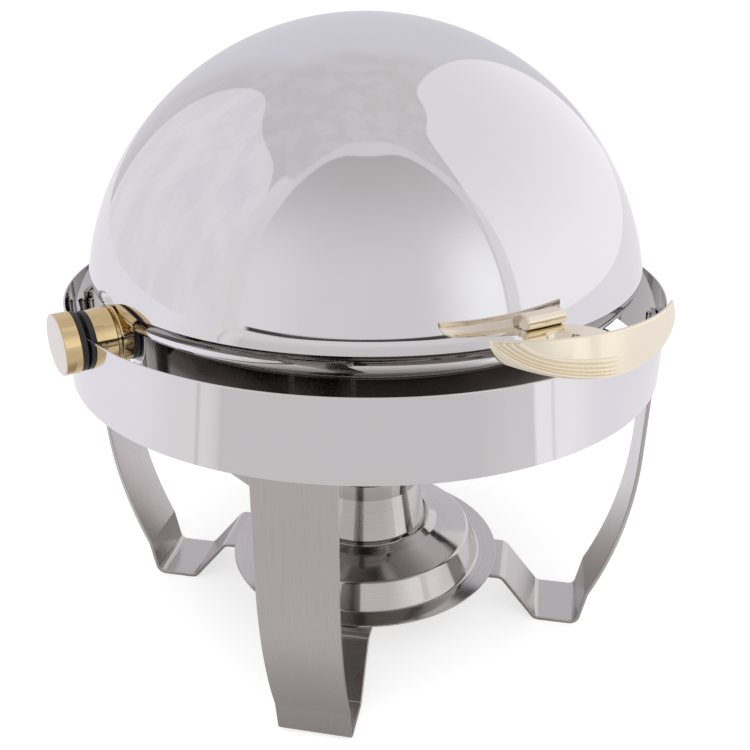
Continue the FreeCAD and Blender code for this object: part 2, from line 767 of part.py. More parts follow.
def make_burner():
    """Flared fuel cup, its ring cover and the snuffer that swings over the opening."""
    w, seat = "cup_wall", "plate_level + plateau_height + 0.05"
    keep(lathe("fuel_cup", [
        ("0", "0"),
        ("cup_foot - 2", "0"),
        ("cup_foot", "2"),
        ("cup_neck", "cup_flare_height"),
        ("cup_neck", "cup_height"),
        (f"cup_neck - {w}", "cup_height"),
        (f"cup_neck - {w}", "cup_flare_height"),
        (f"cup_foot - {w}", "2.5"),
        (f"cup_foot - 2 - {w}", w),
        ("0", w),
    ]), "fuel_cup", lift=seat)
    plug = f"cup_neck - {w} - 0.25"
    cover = lathe("cover_blank", [
        ("cover_hole", f"cover_height - {w}"),
        (f"{plug} - {w}", f"cover_height - {w}"),
        (f"{plug} - {w}", "-6"),
        (plug, "-6"),
        (plug, "1.2"),
        ("cup_neck + 0.4", "1.2"),
        ("cup_neck + 0.4", "cover_height"),
        ("cover_hole", "cover_height"),
    ])
    pin_hole = rod("cover_pin_hole", "2.03", "30", "snuffer_pin", z="-10")
    top = f"{seat} + cup_height"
    keep(cut("cover", cover, pin_hole), "fuel_cup_cover", lift=top)
    level = "cover_height + 0.15"
    disc = rod("snuffer_disc", "snuffer_radius", "snuffer_thick", z=level)
    bar = block("snuffer_bar", "snuffer_pin", "9", "snuffer_thick", "0", "-4.5", level)
    boss = rod("snuffer_boss", "4.5", "snuffer_thick", "snuffer_pin", z=level)
    tab = block("snuffer_tab", "12", "10", "snuffer_thick", "-snuffer_radius - 10", "-5", level)
    grip = block("snuffer_grip", "snuffer_thick", "10", "9", "-snuffer_radius - 10", "-5", level)
    bore = rod("snuffer_bore", "2.05", "20", "snuffer_pin", z="cover_height - 5")
    keep(cut("snuffer", fused("snuffer_blank", [disc, bar, boss, tab, grip]), bore),
         "snuffer_plate", lift=top)
    shank = rod("pin_shank", "2", "cup_wall + snuffer_thick + 1.2", "snuffer_pin",
                z="cover_height - cup_wall - 0.6")
    head = rod("pin_head", "3.8", "1.4", "snuffer_pin", z=f"{level} + snuffer_thick + 0.15")
    foot = rod("pin_foot", "3.4", "0.8", "snuffer_pin", z="cover_height - cup_wall - 0.8")
    keep(fused("pin", [shank, head, foot]), "snuffer_pin", lift=top)


make_ring()
make_legs()
make_fuel_plate()
make_cradle()
make_pivots()
make_dome()
make_handle_mount()
make_handle_arm()
make_grip()
make_handle_screws()
make_pans()
make_burner()
doc.recompute()

for thing in doc.Objects:
    bad = [state for state in thing.State if state in ("Invalid", "Error")]
    if bad:
        raise RuntimeError(f"{thing.Name} did not build: {bad}")
os.makedirs("parts", exist_ok=True)
for part in PARTS:
    if part.Shape.isNull() or not part.Shape.isValid():
        raise RuntimeError(f"{part.Label} has no valid shape")
    part.Shape.exportStep(os.path.join("parts", part.Label + ".step"))
    print(part.Label, len(part.Shape.Solids), round(part.Shape.Volume), part.Shape.BoundBox)
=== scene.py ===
"""Looks of a round roll-top chafing dish: mirror dome and ring, satin legs, brass pivots and grip.

Lengths of parts are in millimetres in the dish's own frame, whose origin is on the pivots' line at
the dish's axis. DISH brings them to the shared frame in metres. The camera's place, the materials,
the stage and the lamp are in metres already.
"""

import json
import math

import bpy
import numpy as np
from mathutils import Matrix, Vector


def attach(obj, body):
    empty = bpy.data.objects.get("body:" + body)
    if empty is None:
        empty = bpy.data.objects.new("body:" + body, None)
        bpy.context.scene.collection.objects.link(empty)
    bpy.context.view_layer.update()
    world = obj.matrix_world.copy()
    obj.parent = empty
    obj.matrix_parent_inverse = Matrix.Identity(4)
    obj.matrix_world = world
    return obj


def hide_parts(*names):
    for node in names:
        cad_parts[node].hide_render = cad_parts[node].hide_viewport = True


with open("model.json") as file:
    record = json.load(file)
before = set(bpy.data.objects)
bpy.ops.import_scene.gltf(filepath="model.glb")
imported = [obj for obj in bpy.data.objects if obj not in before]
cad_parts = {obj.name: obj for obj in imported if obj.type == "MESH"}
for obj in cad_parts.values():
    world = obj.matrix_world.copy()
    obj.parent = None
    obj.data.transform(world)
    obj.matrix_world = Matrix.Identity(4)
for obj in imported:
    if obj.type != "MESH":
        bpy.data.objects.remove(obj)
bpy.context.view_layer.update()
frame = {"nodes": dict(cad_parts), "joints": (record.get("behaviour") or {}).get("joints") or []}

MM = 0.001
hinge = next(joint for joint in frame["joints"] if joint["name"] == "dome_hinge")
AXIS_Y, PIVOT = hinge["pos_m"][1], hinge["pos_m"][2]
FLOOR = -PIVOT / MM
DISH = Matrix.Translation((0, AXIS_Y, PIVOT)) @ Matrix.Scale(MM, 4)
SIDES = (("left", -1), ("right", 1))


# ---------------------------------------------------------------- camera

CAMERA_TURN = math.radians(-34.0)
CAMERA_PITCH = math.radians(23.81)
CAMERA_YAW = math.radians(-0.62)
CAMERA_ROLL = math.radians(0.48)
CAMERA_BACK = 0.6556
CAMERA_ABOVE = 0.2116
CAMERA_LENS = 42.87


def make_camera():
    """The camera stands in front and to the left of the dish, and looks a little down on it."""
    cos_p, sin_p = math.cos(CAMERA_PITCH), math.sin(CAMERA_PITCH)
    cos_y, sin_y = math.cos(CAMERA_YAW), math.sin(CAMERA_YAW)
    forward = Vector((-sin_y * cos_p, cos_y * cos_p, -sin_p))
    up = Vector((-sin_y * sin_p, cos_y * sin_p, cos_p))
    right = Vector((cos_y, sin_y, 0))
    rolled_right = math.cos(CAMERA_ROLL) * right + math.sin(CAMERA_ROLL) * up
    rolled_up = -math.sin(CAMERA_ROLL) * right + math.cos(CAMERA_ROLL) * up
    basis = Matrix((rolled_right, rolled_up, -forward)).transposed().to_4x4()
    turn = Matrix.Rotation(CAMERA_TURN, 4, "Z")
    place = turn @ Vector((0, -CAMERA_BACK, CAMERA_ABOVE)) + Vector((0, AXIS_Y, PIVOT))
    data = bpy.data.cameras.new("camera")
    data.lens = CAMERA_LENS
    data.sensor_width = 36
    camera = bpy.data.objects.new("camera", data)
    bpy.context.scene.collection.objects.link(camera)
    camera.matrix_world = Matrix.Translation(place) @ turn @ basis
    bpy.context.scene.camera = camera


# ---------------------------------------------------------------- node helpers

def new_tree(tree):
    tree.nodes.clear()
    return tree


def node(tree, kind, inputs=None, **settings):
    """A node with its settings and its inputs: plain values are set, sockets are linked."""
    made = tree.nodes.new(kind)
    for name, value in settings.items():
        setattr(made, name, value)
    for name, value in (inputs or {}).items():
        if isinstance(value, bpy.types.NodeSocket):
            tree.links.new(value, made.inputs[name])
        else:
            made.inputs[name].default_value = value
    return made


def math_node(tree, operation, *values, clamp=False):
    return node(tree, "ShaderNodeMath", dict(enumerate(values)), operation=operation,
                use_clamp=clamp).outputs[0]


def remap(tree, value, low, high, to_low, to_high):
    """A smooth step of value from to_low at low to to_high at high."""
    return node(tree, "ShaderNodeMapRange", {"Value": value, "From Min": low, "From Max": high,
                                             "To Min": to_low, "To Max": to_high},
                interpolation_type="SMOOTHSTEP").outputs[0]


def blend_colours(tree, factor, first, second):
    mix = node(tree, "ShaderNodeMix", {"Factor": factor}, data_type="RGBA")
    for slot, value in ((6, first), (7, second)):
        if isinstance(value, bpy.types.NodeSocket):
            tree.links.new(value, mix.inputs[slot])
        else:
            mix.inputs[slot].default_value = (*value, 1)
    return mix.outputs[2]


def place_on_object(tree):
    return node(tree, "ShaderNodeTexCoord").outputs["Object"]


def stretched(tree, scale):
    """The place on the object, stretched by a scale for each axis."""
    return node(tree, "ShaderNodeMapping", {"Vector": place_on_object(tree), "Scale": scale}).outputs[0]


def noise(tree, vector, scale, detail=3.0, roughness=0.5):
    return node(tree, "ShaderNodeTexNoise", {"Vector": vector, "Scale": scale, "Detail": detail,
                                             "Roughness": roughness}).outputs["Fac"]


def ring_place(tree):
    """A place that changes only with the distance from the dish's axis and with height."""
    shifted = node(tree, "ShaderNodeVectorMath", {0: place_on_object(tree), 1: (0, AXIS_Y, 0)},
                   operation="SUBTRACT").outputs[0]
    flat = node(tree, "ShaderNodeVectorMath", {0: shifted, 1: (1, 1, 0)},
                operation="MULTIPLY").outputs[0]
    reach = node(tree, "ShaderNodeVectorMath", {0: flat}, operation="LENGTH").outputs["Value"]
    height = node(tree, "ShaderNodeSeparateXYZ", {0: place_on_object(tree)}).outputs["Z"]
    return node(tree, "ShaderNodeCombineXYZ", {"X": reach, "Y": height}).outputs[0]


# ---------------------------------------------------------------- materials

def start_material(name):
    material = bpy.data.materials.new(name)
    material.use_nodes = True
    return material, new_tree(material.node_tree)


def end_material(tree, shader):
    node(tree, "ShaderNodeOutputMaterial", {"Surface": shader.outputs[0]})


def bumped(tree, height, strength, distance):
    return node(tree, "ShaderNodeBump", {"Height": height, "Strength": strength,
                                         "Distance": distance}).outputs[0]


def distance_out(tree, sideways):
    """How far a point is from the dish's axis, or how far to either side of it."""
    if sideways:
        across = node(tree, "ShaderNodeSeparateXYZ", {0: place_on_object(tree)}).outputs["X"]
        return math_node(tree, "ABSOLUTE", across)
    parts = node(tree, "ShaderNodeSeparateXYZ", {0: ring_place(tree)})
    return parts.outputs["X"]


def zoned(tree, colour, zone):
    """The colour, changed to another past an edge. A zone says where the change begins and where it
    ends, if it is measured sideways, and the other colour."""
    begins, ends, sideways, other = zone
    share = remap(tree, distance_out(tree, sideways), begins, ends, 0.0, 1.0)
    return blend_colours(tree, share, colour, other)


def mirror_metal(name, tone, shade, low, high, zone=None):
    """Polished sheet: faint smears change its gloss, and the sheet is not perfectly even."""
    material, tree = start_material(name)
    smear = noise(tree, stretched(tree, (1, 1, 0.45)), 26.0, 6.0, 0.6)
    haze = noise(tree, place_on_object(tree), 7.0, 2.0)
    colour = blend_colours(tree, remap(tree, haze, 0.3, 0.7, 0.0, 1.0), tone, shade)
    if zone:
        colour = zoned(tree, colour, zone)
    wave = noise(tree, place_on_object(tree), 9.0, 1.0)
    shader = node(tree, "ShaderNodeBsdfPrincipled", {
        "Base Color": colour,
        "Metallic": 1.0,
        "Roughness": remap(tree, smear, 0.35, 0.75, low, high),
        "Normal": bumped(tree, wave, 0.35, 0.0006),
    })
    end_material(tree, shader)
    return material


def grained_metal(name, tone, shade, low, high, grain, fine, depth=0.00002, spun=False, zone=None):
    """Satin or brushed metal: long fine lines in its colour, gloss and height."""
    material, tree = start_material(name)
    place = ring_place(tree) if spun else place_on_object(tree)
    lines = node(tree, "ShaderNodeMapping", {"Vector": place, "Scale": grain}).outputs[0]
    hair = noise(tree, lines, fine, 4.0, 0.65)
    cloud = noise(tree, place_on_object(tree), 18.0, 3.0)
    both = math_node(tree, "ADD", math_node(tree, "MULTIPLY", hair, 0.6),
                     math_node(tree, "MULTIPLY", cloud, 0.4))
    colour = blend_colours(tree, remap(tree, both, 0.36, 0.64, 0.0, 1.0), tone, shade)
    if zone:
        colour = zoned(tree, colour, zone)
    shader = node(tree, "ShaderNodeBsdfPrincipled", {
        "Base Color": colour,
        "Metallic": 1.0,
        "Roughness": remap(tree, both, 0.34, 0.66, low, high),
        "Normal": bumped(tree, hair, 0.35, depth),
    })
    end_material(tree, shader)
    return material


def dull_solid(name, tone, shade, roughness, speckle, depth):
    """Rubber or nylon: slightly mottled, with a moulded surface."""
    material, tree = start_material(name)
    grain = noise(tree, place_on_object(tree), speckle, 4.0)
    colour = blend_colours(tree, remap(tree, grain, 0.35, 0.65, 0.0, 1.0), tone, shade)
    shader = node(tree, "ShaderNodeBsdfPrincipled", {
        "Base Color": colour,
        "Roughness": remap(tree, grain, 0.3, 0.7, roughness - 0.08, roughness + 0.08),
        "Normal": bumped(tree, grain, 0.5, depth),
    })
    end_material(tree, shader)
    return material


# Pairs of tones that a metal wanders between, then zones and the directions of the grain.
STEEL = ((0.83, 0.82, 0.835), (0.80, 0.79, 0.81))
PAN_STEEL = ((0.70, 0.695, 0.69), (0.62, 0.615, 0.61))
BRASS = ((0.84, 0.66, 0.37), (0.76, 0.58, 0.31))
# The ring's inner wall is painted darker: painted shade of the dish's dark inside.
SHADE_PAINTED_INSIDE_RING = (0.2198, 0.2196, False, (0.44, 0.415, 0.405))
# The water pan's outer wall and lip are painted dark: painted shade in the gap inside the ring.
SHADE_PAINTED_OUTSIDE_PAN = (0.1736, 0.1739, False, (0.15, 0.135, 0.12))
FACE_OF_KNOB = (0.2352, 0.2355, True, (0.80, 0.74, 0.69))
UPRIGHT_GRAIN = (1, 1, 0.02)
ROUGH_GRAIN = (1, 1, 0.05)
EVEN_GRAIN = (1, 1, 1)

MATERIALS = {
    "mirror_steel": mirror_metal("mirror_steel", *STEEL, 0.015, 0.05),
    "ring_steel_shaded_inside": mirror_metal("ring_steel_shaded_inside", *STEEL, 0.015, 0.05, zone=SHADE_PAINTED_INSIDE_RING),
    "satin_steel": grained_metal("satin_steel", (0.62, 0.595, 0.585), (0.595, 0.57, 0.56), 0.13, 0.21,
                                 UPRIGHT_GRAIN, 900.0, 0.000003),
    "burner_steel": grained_metal("burner_steel", (0.66, 0.635, 0.62), (0.60, 0.575, 0.56), 0.06, 0.13,
                                  EVEN_GRAIN, 1500.0, 0.000004, spun=True),
    "pan_steel": grained_metal("pan_steel", *PAN_STEEL, 0.16, 0.30, EVEN_GRAIN, 1200.0, 0.00001,
                               spun=True),
    "water_pan_steel_shaded_outside": grained_metal("water_pan_steel_shaded_outside", *PAN_STEEL, 0.10, 0.22, EVEN_GRAIN, 1200.0,
                                     0.00001, spun=True, zone=SHADE_PAINTED_OUTSIDE_PAN),
    "cradle_steel": grained_metal("cradle_steel", (0.50, 0.49, 0.48), (0.40, 0.39, 0.38), 0.22, 0.38,
                                  ROUGH_GRAIN, 500.0, 0.00001),
    "polished_brass": mirror_metal("polished_brass", *BRASS, 0.06, 0.13),
    "knob_brass": mirror_metal("knob_brass", *BRASS, 0.06, 0.13, zone=FACE_OF_KNOB),
    "pale_brass": mirror_metal("pale_brass", (0.96, 0.89, 0.74), (0.92, 0.84, 0.68), 0.08, 0.17),
    "rubber": dull_solid("rubber", (0.012, 0.011, 0.011), (0.022, 0.02, 0.02), 0.48, 900.0, 0.00004),
    "nylon": dull_solid("nylon", (0.78, 0.77, 0.72), (0.70, 0.69, 0.64), 0.45, 400.0, 0.00003),
    "bright_steel": grained_metal("bright_steel", (0.66, 0.655, 0.65), (0.56, 0.555, 0.55), 0.18, 0.32,
                                  EVEN_GRAIN, 700.0),
}


# ---------------------------------------------------------------- mesh helpers

POLE_SIZE = 1e-7
WELD_GAP = 0.000002
EDGE_SEGMENTS = 3
EDGE_ANGLE = math.radians(35)


class Piece:
    """Points, faces and corner normals gathered in the dish's frame, then made into one object."""

    def __init__(self):
        self.points, self.faces, self.normals = [], [], []

    def add_grid(self, points, normals, wrap_rows=False, wrap_columns=False):
        """Quads between rows and columns of points. A row whose points are all one is a pole."""
        rows, columns = points.shape[:2]
        index = np.arange(rows * columns).reshape(rows, columns) + len(self.points)
        for row in range(rows):
            if np.ptp(points[row], axis=0).max() < POLE_SIZE:
                index[row] = index[row, 0]
        self.points.extend(map(tuple, points.reshape(-1, 3)))
        flat = normals.reshape(-1, 3)
        for row in range(rows if wrap_rows else rows - 1):
            below = (row + 1) % rows
            for column in range(columns if wrap_columns else columns - 1):
                after = (column + 1) % columns
                corners = [(row, column), (below, column), (below, after), (row, after)]
                face, face_normals = [], []
                for r, c in corners:
                    if index[r, c] not in face:
                        face.append(int(index[r, c]))
                        face_normals.append(flat[r * columns + c])
                if len(face) > 2:
                    self.faces.append(face)
                    self.normals.append(face_normals)

    def add_cap(self, points, normal):
        """One flat face."""
        base = len(self.points)
        self.points.extend(map(tuple, points))
        self.faces.append(list(range(base, base + len(points))))
        self.normals.append([normal] * len(points))

    def build(self, name, body, nodes, slot, matrix=None, finish=None):
        """Make the object, face it outward, hand it its material and body, and hide the CAD nodes it
        stands for.
        """
        place = DISH @ (matrix or Matrix.Identity(4))
        turn = place.to_3x3().normalized()
        coordinates = [place @ Vector(point) for point in self.points]
        used = sorted({i for face in self.faces for i in face})
        renumber = {old: new for new, old in enumerate(used)}
        faces, corner_normals = [], []
        for face, normals in zip(self.faces, self.normals):
            turned = [turn @ Vector(n) for n in normals]
            corners = [coordinates[i] for i in face]
            across = (corners[2] - corners[0]).cross(corners[-1] - corners[1])
            if across.dot(sum(turned, Vector())) < 0:
                face, turned = face[::-1], turned[::-1]
            faces.append([renumber[i] for i in face])
            corner_normals.extend(turned)
        mesh = bpy.data.meshes.new(name)
        mesh.from_pydata([coordinates[i] for i in used], [], faces)
        mesh.polygons.foreach_set("use_smooth", [True] * len(mesh.polygons))
        mesh.normals_split_custom_set([tuple(n.normalized()) for n in corner_normals])
        mesh.materials.append(MATERIALS[finish or slot])
        made = bpy.data.objects.new(name, mesh)
        bpy.context.scene.collection.objects.link(made)
        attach(made, body)
        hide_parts(*nodes)
        return made


def rounded(corners, closed=True, steps=5):
    """An outline of (across, along, radius) corners, counterclockwise round the material, with
    each corner rounded: its points and their outward normals."""
    points, normals = [], []
    count = len(corners)
    for i, (x, y, radius) in enumerate(corners):
        here = Vector((x, y))
        before = (here - Vector(corners[i - 1][:2])).normalized()
        after = (Vector(corners[(i + 1) % count][:2]) - here).normalized()
        if not closed and i in (0, count - 1):
            way = after if i == 0 else before
            points.append(here)
            normals.append(Vector((way.y, -way.x)))
            continue
        turn = math.atan2(before.x * after.y - before.y * after.x, before.dot(after))
        cut = radius * math.tan(abs(turn) / 2)
        side = 1 if turn > 0 else -1
        first = Vector((before.y, -before.x))
        centre = here - before * cut - first * radius * side
        for step in range(steps + 1):
            angle = turn * step / steps
            normal = Vector((first.x * math.cos(angle) - first.y * math.sin(angle),
                             first.x * math.sin(angle) + first.y * math.cos(angle)))
            points.append(centre + normal * radius * side)
            normals.append(normal)
    return np.array(points), np.array(normals)


def ring_frame(axis, side=1):
    """Unit vectors round a spin axis and along it."""
    if axis == "Z":
        return np.array((1.0, 0, 0)), np.array((0, 1.0, 0)), np.array((0, 0, 1.0))
    if side > 0:
        return np.array((0, 1.0, 0)), np.array((0, 0, 1.0)), np.array((1.0, 0, 0))
    return np.array((0, 0, 1.0)), np.array((0, 1.0, 0)), np.array((-1.0, 0, 0))


def spin(piece, corners, axis="Z", side=1, centre=(0, 0, 0), closed=True, segments=256, steps=5):
    """A turned shape: an outline of (radius, height, rounding) spun about an axis."""
    points, normals = rounded(corners, closed, steps)
    first, second, along = ring_frame(axis, side)
    angles = np.linspace(0, 2 * math.pi, segments, endpoint=False)
    around = np.outer(np.cos(angles), first) + np.outer(np.sin(angles), second)
    grid = (np.array(centre) + points[:, None, :1] * around[None]
            + points[:, None, 1:] * along[None, None])
    slopes = normals[:, None, :1] * around[None] + normals[:, None, 1:] * along[None, None]
    piece.add_grid(grid, slopes, wrap_rows=closed, wrap_columns=True)


def turned(name, body, slot, corners, finish=None, **options):
    """One turned shape as a piece of its own, standing for the node of the same name."""
    piece = Piece()
    spin(piece, corners, **options)
    return piece.build("shown_" + name, body, [name], slot, finish=finish)


def soften(name, slot, width=0.4):
    """Give a plain CAD node its material and small round edges."""
    thing = frame["nodes"][name]
    mesh = thing.data
    if "custom_normal" in mesh.attributes:
        mesh.attributes.remove(mesh.attributes["custom_normal"])
    mesh.polygons.foreach_set("use_smooth", [True] * len(mesh.polygons))
    mesh.materials.clear()
    mesh.materials.append(MATERIALS[slot])
    weld = thing.modifiers.new("weld", "WELD")
    weld.merge_threshold = WELD_GAP
    bevel = thing.modifiers.new("edges", "BEVEL")
    bevel.width = width * MM
    bevel.segments = EDGE_SEGMENTS
    bevel.limit_method = "ANGLE"
    bevel.angle_limit = EDGE_ANGLE
    bevel.use_clamp_overlap = True
    bevel.harden_normals = False
    flatten = thing.modifiers.new("normals", "WEIGHTED_NORMAL")
    flatten.keep_sharp = True


# ---------------------------------------------------------------- dome

DOME_RADIUS = 205.0
DOME_DROP = 12.0
DOME_WALL = 1.2
TUCK_START = math.radians(12.0)
TUCK_END = math.radians(50.5)
TUCK_RADIUS = 24.6
PAD_FACE = 187.0
PAD_RADIUS = 23.0
PAD_FLARE = 0.35
PAD_SOFT = 2.6
PAD_SINK = 0.7
PAD_EDGE = PAD_RADIUS * 2.2
BOLT_BORE = 4.1
FINE_STEP = math.radians(0.5)
COARSE_STEP = math.radians(1.6)
EAR_ANGLE = math.radians(14)
LOW_BAND = 0.16


def soft_min(first, second, blend):
    """The smaller of two values, with the change from one to the other smoothed over a width."""
    share = np.clip(0.5 + 0.5 * (second - first) / blend, 0, 1)
    return second + (first - second) * share - blend * share * (1 - share)


def dome_points(azimuth, along, inset):
    """Points of the dome for an azimuth and a way along its outline: tuck up to 0, sphere to 1."""
    hub_across = (DOME_RADIUS - TUCK_RADIUS) * math.cos(TUCK_START)
    hub_height = (DOME_RADIUS - TUCK_RADIUS) * math.sin(TUCK_START) - DOME_DROP
    in_tuck = along < 0
    bend = TUCK_START + along * (TUCK_START + TUCK_END)
    rise = TUCK_START + along * (math.pi / 2 - TUCK_START)
    across = np.where(in_tuck, hub_across + (TUCK_RADIUS - inset) * np.cos(bend),
                      (DOME_RADIUS - inset) * np.cos(rise))
    height = np.where(in_tuck, hub_height + (TUCK_RADIUS - inset) * np.sin(bend),
                      (DOME_RADIUS - inset) * np.sin(rise) - DOME_DROP)
    x, y = across * np.cos(azimuth), across * np.sin(azimuth)
    reach = np.hypot(y, height)
    past = reach - PAD_RADIUS
    past = (past + np.sqrt(past ** 2 + PAD_SOFT)) / 2
    flare = PAD_FACE - inset + past / PAD_FLARE - PAD_SINK
    pressed = soft_min(np.abs(x), flare, PAD_SOFT)
    near_pad = reach < PAD_EDGE
    x = np.where(near_pad, np.copysign(np.minimum(pressed, np.abs(x)), x), x)
    return np.stack([x, y, height], -1)


def dome_azimuths():
    """Azimuths all the way round, closer together near the two ears."""
    count = int((math.pi / 2 - EAR_ANGLE) / COARSE_STEP)
    quarter = np.concatenate([np.arange(0, EAR_ANGLE, FINE_STEP),
                              np.linspace(EAR_ANGLE, math.pi / 2, count)])
    half = np.concatenate([quarter, math.pi - quarter[-2::-1]])
    return np.concatenate([half[:-1], half[:-1] + math.pi])


def make_dome():
    """The dome's two skins, its lip and the round ears that hang on the pivots."""
    azimuths = dome_azimuths()
    along = np.concatenate([np.linspace(-1, 0, 26)[:-1], np.linspace(0, LOW_BAND, 26)[:-1],
                            np.linspace(LOW_BAND, 1, 54)])
    piece = Piece()
    tiny, shortest = 1e-5, 1e-14
    edges = {}
    for side, inset in ((1, 0.0), (-1, DOME_WALL)):
        way, turn = np.meshgrid(along, azimuths, indexing="ij")
        grid = dome_points(turn, way, inset)
        grid[-1] = grid[-1, :1]
        up = dome_points(turn, way + tiny, inset) - dome_points(turn, way - tiny, inset)
        round_ = dome_points(turn + tiny, way, inset) - dome_points(turn - tiny, way, inset)
        slopes = np.cross(round_, up)
        length = np.linalg.norm(slopes, axis=-1, keepdims=True)
        slopes = np.where(length > shortest, slopes / np.maximum(length, shortest), (0, 0, 1.0))
        slopes[-1] = (0, 0, 1.0)
        piece.add_grid(grid, slopes * side, wrap_columns=True)
        edges[side] = grid[0]
    lip = np.stack([edges[1], edges[-1]])
    down = np.broadcast_to(np.array((0.0, 0, -1.0)), lip.shape)
    piece.add_grid(lip, down, wrap_columns=True)
    back, front = PAD_FACE - DOME_WALL, PAD_FACE + 0.02
    for _, side in SIDES:
        spin(piece, [(BOLT_BORE, back, 0.2), (PAD_RADIUS, back, 0.5), (PAD_RADIUS, front, 0.5),
                     (BOLT_BORE, front, 0.2)], "X", side, segments=96)
    piece.build("shown_dome", "dome", ["dome_cover"], "mirror_steel")


# ---------------------------------------------------------------- frame

RING_RADIUS = 221.0
RING_WALL = 1.5
RING_RISE = 6.0
RING_FALL = 49.0
LEG_WIDTH = 53.0
LEG_THICK = 3.0
LEG_REACH = 216.2
LEG_TOP = -14.0
LEG_SWEEP_RADIUS = 325.0
LEG_SWEEP = 23.5
LEG_FOOT_ANGLE = 11.0
LEG_FOOT_HEIGHT = 23.0
LEG_BEND = 7.5
LEG_PAD = 24.0
LEG_SLOPE_ANGLE = 51.0
LEG_TONGUE = 14.0
LEG_EASE = 0.7
BEND_STEP = 1.5
RUN_STEPS = 4
WELD_RADIUS = 2.6
WELD_TALL = 31.0
WELD_LUMPS = ((0.86, 8.0), (1.0, 15.0), (0.84, 23.0))
FIT_GAP = 0.1
PLATE_LEVEL = 41.0
PLATE_WALL = 1.2
PLATE_RIM = 113.0
PLATE_RISE = 31.0
PLATE_STEPS = ((54.0, PLATE_RISE, 1.0, 1.6), (61.0, 28.0, 3.0, 3.2), (88.0, 21.0, 3.4, 4.2),
               (97.0, 0.0, 2.6, 3.0))
HOOP_INNER = 172.5
HOOP_OUTER = 176.0
HOOP_LOW = -60.0
HOOP_TOP = -46.0
LEGS = (("front_left", -135.0), ("front_right", -45.0), ("rear_left", 135.0), ("rear_right", 45.0))


def make_ring():
    """The mirror band round the dish, with rounded edges, and its inner wall painted darker as shade."""
    inner = RING_RADIUS - RING_WALL
    turned("frame_ring", "frame", "mirror_steel", [
        (inner, -RING_FALL, 0.5), (RING_RADIUS, -RING_FALL, 0.5),
        (RING_RADIUS, RING_RISE, 0.6), (inner, RING_RISE, 0.6)], finish="ring_steel_shaded_inside", segments=480)


def leg_runs():
    """The two runs that put the pads on the floor and the tongues under the plate."""
    sweep, foot, slope = (math.radians(a) for a in (LEG_SWEEP, LEG_FOOT_ANGLE, LEG_SLOPE_ANGLE))
    drop = (LEG_SWEEP_RADIUS * math.sin(sweep) + LEG_BEND * (math.sin(sweep) + 1 - 2 * math.sin(foot))
            + LEG_FOOT_HEIGHT * math.cos(foot))
    straight = LEG_TOP - FLOOR - LEG_THICK / 2 - drop
    climb = PLATE_LEVEL - PLATE_WALL - LEG_THICK
    return straight, (climb - 2 * LEG_BEND * (1 - math.cos(slope))) / math.sin(slope)


def leg_line():
    """Points and headings of the strip's middle line, outward distance against height."""
    straight, slope_run = leg_runs()
    steps = [(straight, 0), (LEG_SWEEP_RADIUS, -LEG_SWEEP), (LEG_BEND, LEG_SWEEP - LEG_FOOT_ANGLE),
             (LEG_FOOT_HEIGHT, 0), (LEG_BEND, LEG_FOOT_ANGLE - 90), (LEG_PAD, 0),
             (LEG_BEND, -LEG_SLOPE_ANGLE), (slope_run, 0), (LEG_BEND, LEG_SLOPE_ANGLE),
             (LEG_TONGUE, 0)]
    place, heading = Vector((LEG_REACH, LEG_TOP)), math.radians(-90)
    points, headings = [tuple(place)], [heading]
    for length, turn in steps:
        count = max(2, int(abs(turn) / BEND_STEP)) if turn else RUN_STEPS
        for _ in range(count):
            if turn:
                step = math.radians(turn) / count
                heading += step / 2
                place += Vector((math.cos(heading), math.sin(heading))) * (
                    2 * length * math.sin(abs(step) / 2))
                heading += step / 2
            else:
                place += Vector((math.cos(heading), math.sin(heading))) * (length / count)
            points.append(tuple(place))
            headings.append(heading)
    return np.array(points), np.array(headings)


def make_leg(name, turn):
    """A bent strip with eased edges."""
    line, headings = leg_line()
    half_thick, half_wide = LEG_THICK / 2, LEG_WIDTH / 2
    section, slopes = rounded([(-half_thick, -half_wide, LEG_EASE), (half_thick, -half_wide, LEG_EASE),
                               (half_thick, half_wide, LEG_EASE), (-half_thick, half_wide, LEG_EASE)])
    side_x, side_z = -np.sin(headings), np.cos(headings)
    grid = np.empty((len(line), len(section), 3))
    grid[..., 0] = line[:, None, 0] + side_x[:, None] * section[None, :, 0]
    grid[..., 2] = line[:, None, 1] + side_z[:, None] * section[None, :, 0]
    grid[..., 1] = section[None, :, 1]
    normals = np.empty_like(grid)
    normals[..., 0] = side_x[:, None] * slopes[None, :, 0]
    normals[..., 2] = side_z[:, None] * slopes[None, :, 0]
    normals[..., 1] = slopes[None, :, 1]
    piece = Piece()
    piece.add_grid(grid, normals, wrap_columns=True)
    for row, way in ((0, -1), (-1, 1)):
        ahead = (way * math.cos(headings[row]), 0, way * math.sin(headings[row]))
        piece.add_cap(grid[row], ahead)
    piece.build("shown_leg_" + name, "frame", ["leg_" + name], "satin_steel",
                Matrix.Rotation(math.radians(turn), 4, "Z"))


def make_welds():
    """The beads between the legs' edges and the ring, each a lumpy rod with round ends."""
    piece = Piece()
    reach = RING_RADIUS - RING_WALL - WELD_RADIUS - FIT_GAP
    half_wide = LEG_WIDTH / 2 + WELD_RADIUS + FIT_GAP
    top, bottom = -RING_FALL + WELD_TALL, -RING_FALL
    lumps = [(WELD_RADIUS * share, bottom + rise, 3) for share, rise in WELD_LUMPS]
    outline = [(0, bottom, 0), (WELD_RADIUS, bottom, 1.8), *lumps, (WELD_RADIUS, top, 1.8), (0, top, 0)]
    for _, turn in LEGS:
        for side in (-1, 1):
            angle = math.radians(turn) + side * math.asin(half_wide / reach)
            centre = (reach * math.cos(angle), reach * math.sin(angle), 0)
            spin(piece, outline, centre=centre, closed=False, segments=20, steps=4)
    piece.build("shown_leg_welds", "frame", ["leg_welds"], "satin_steel")


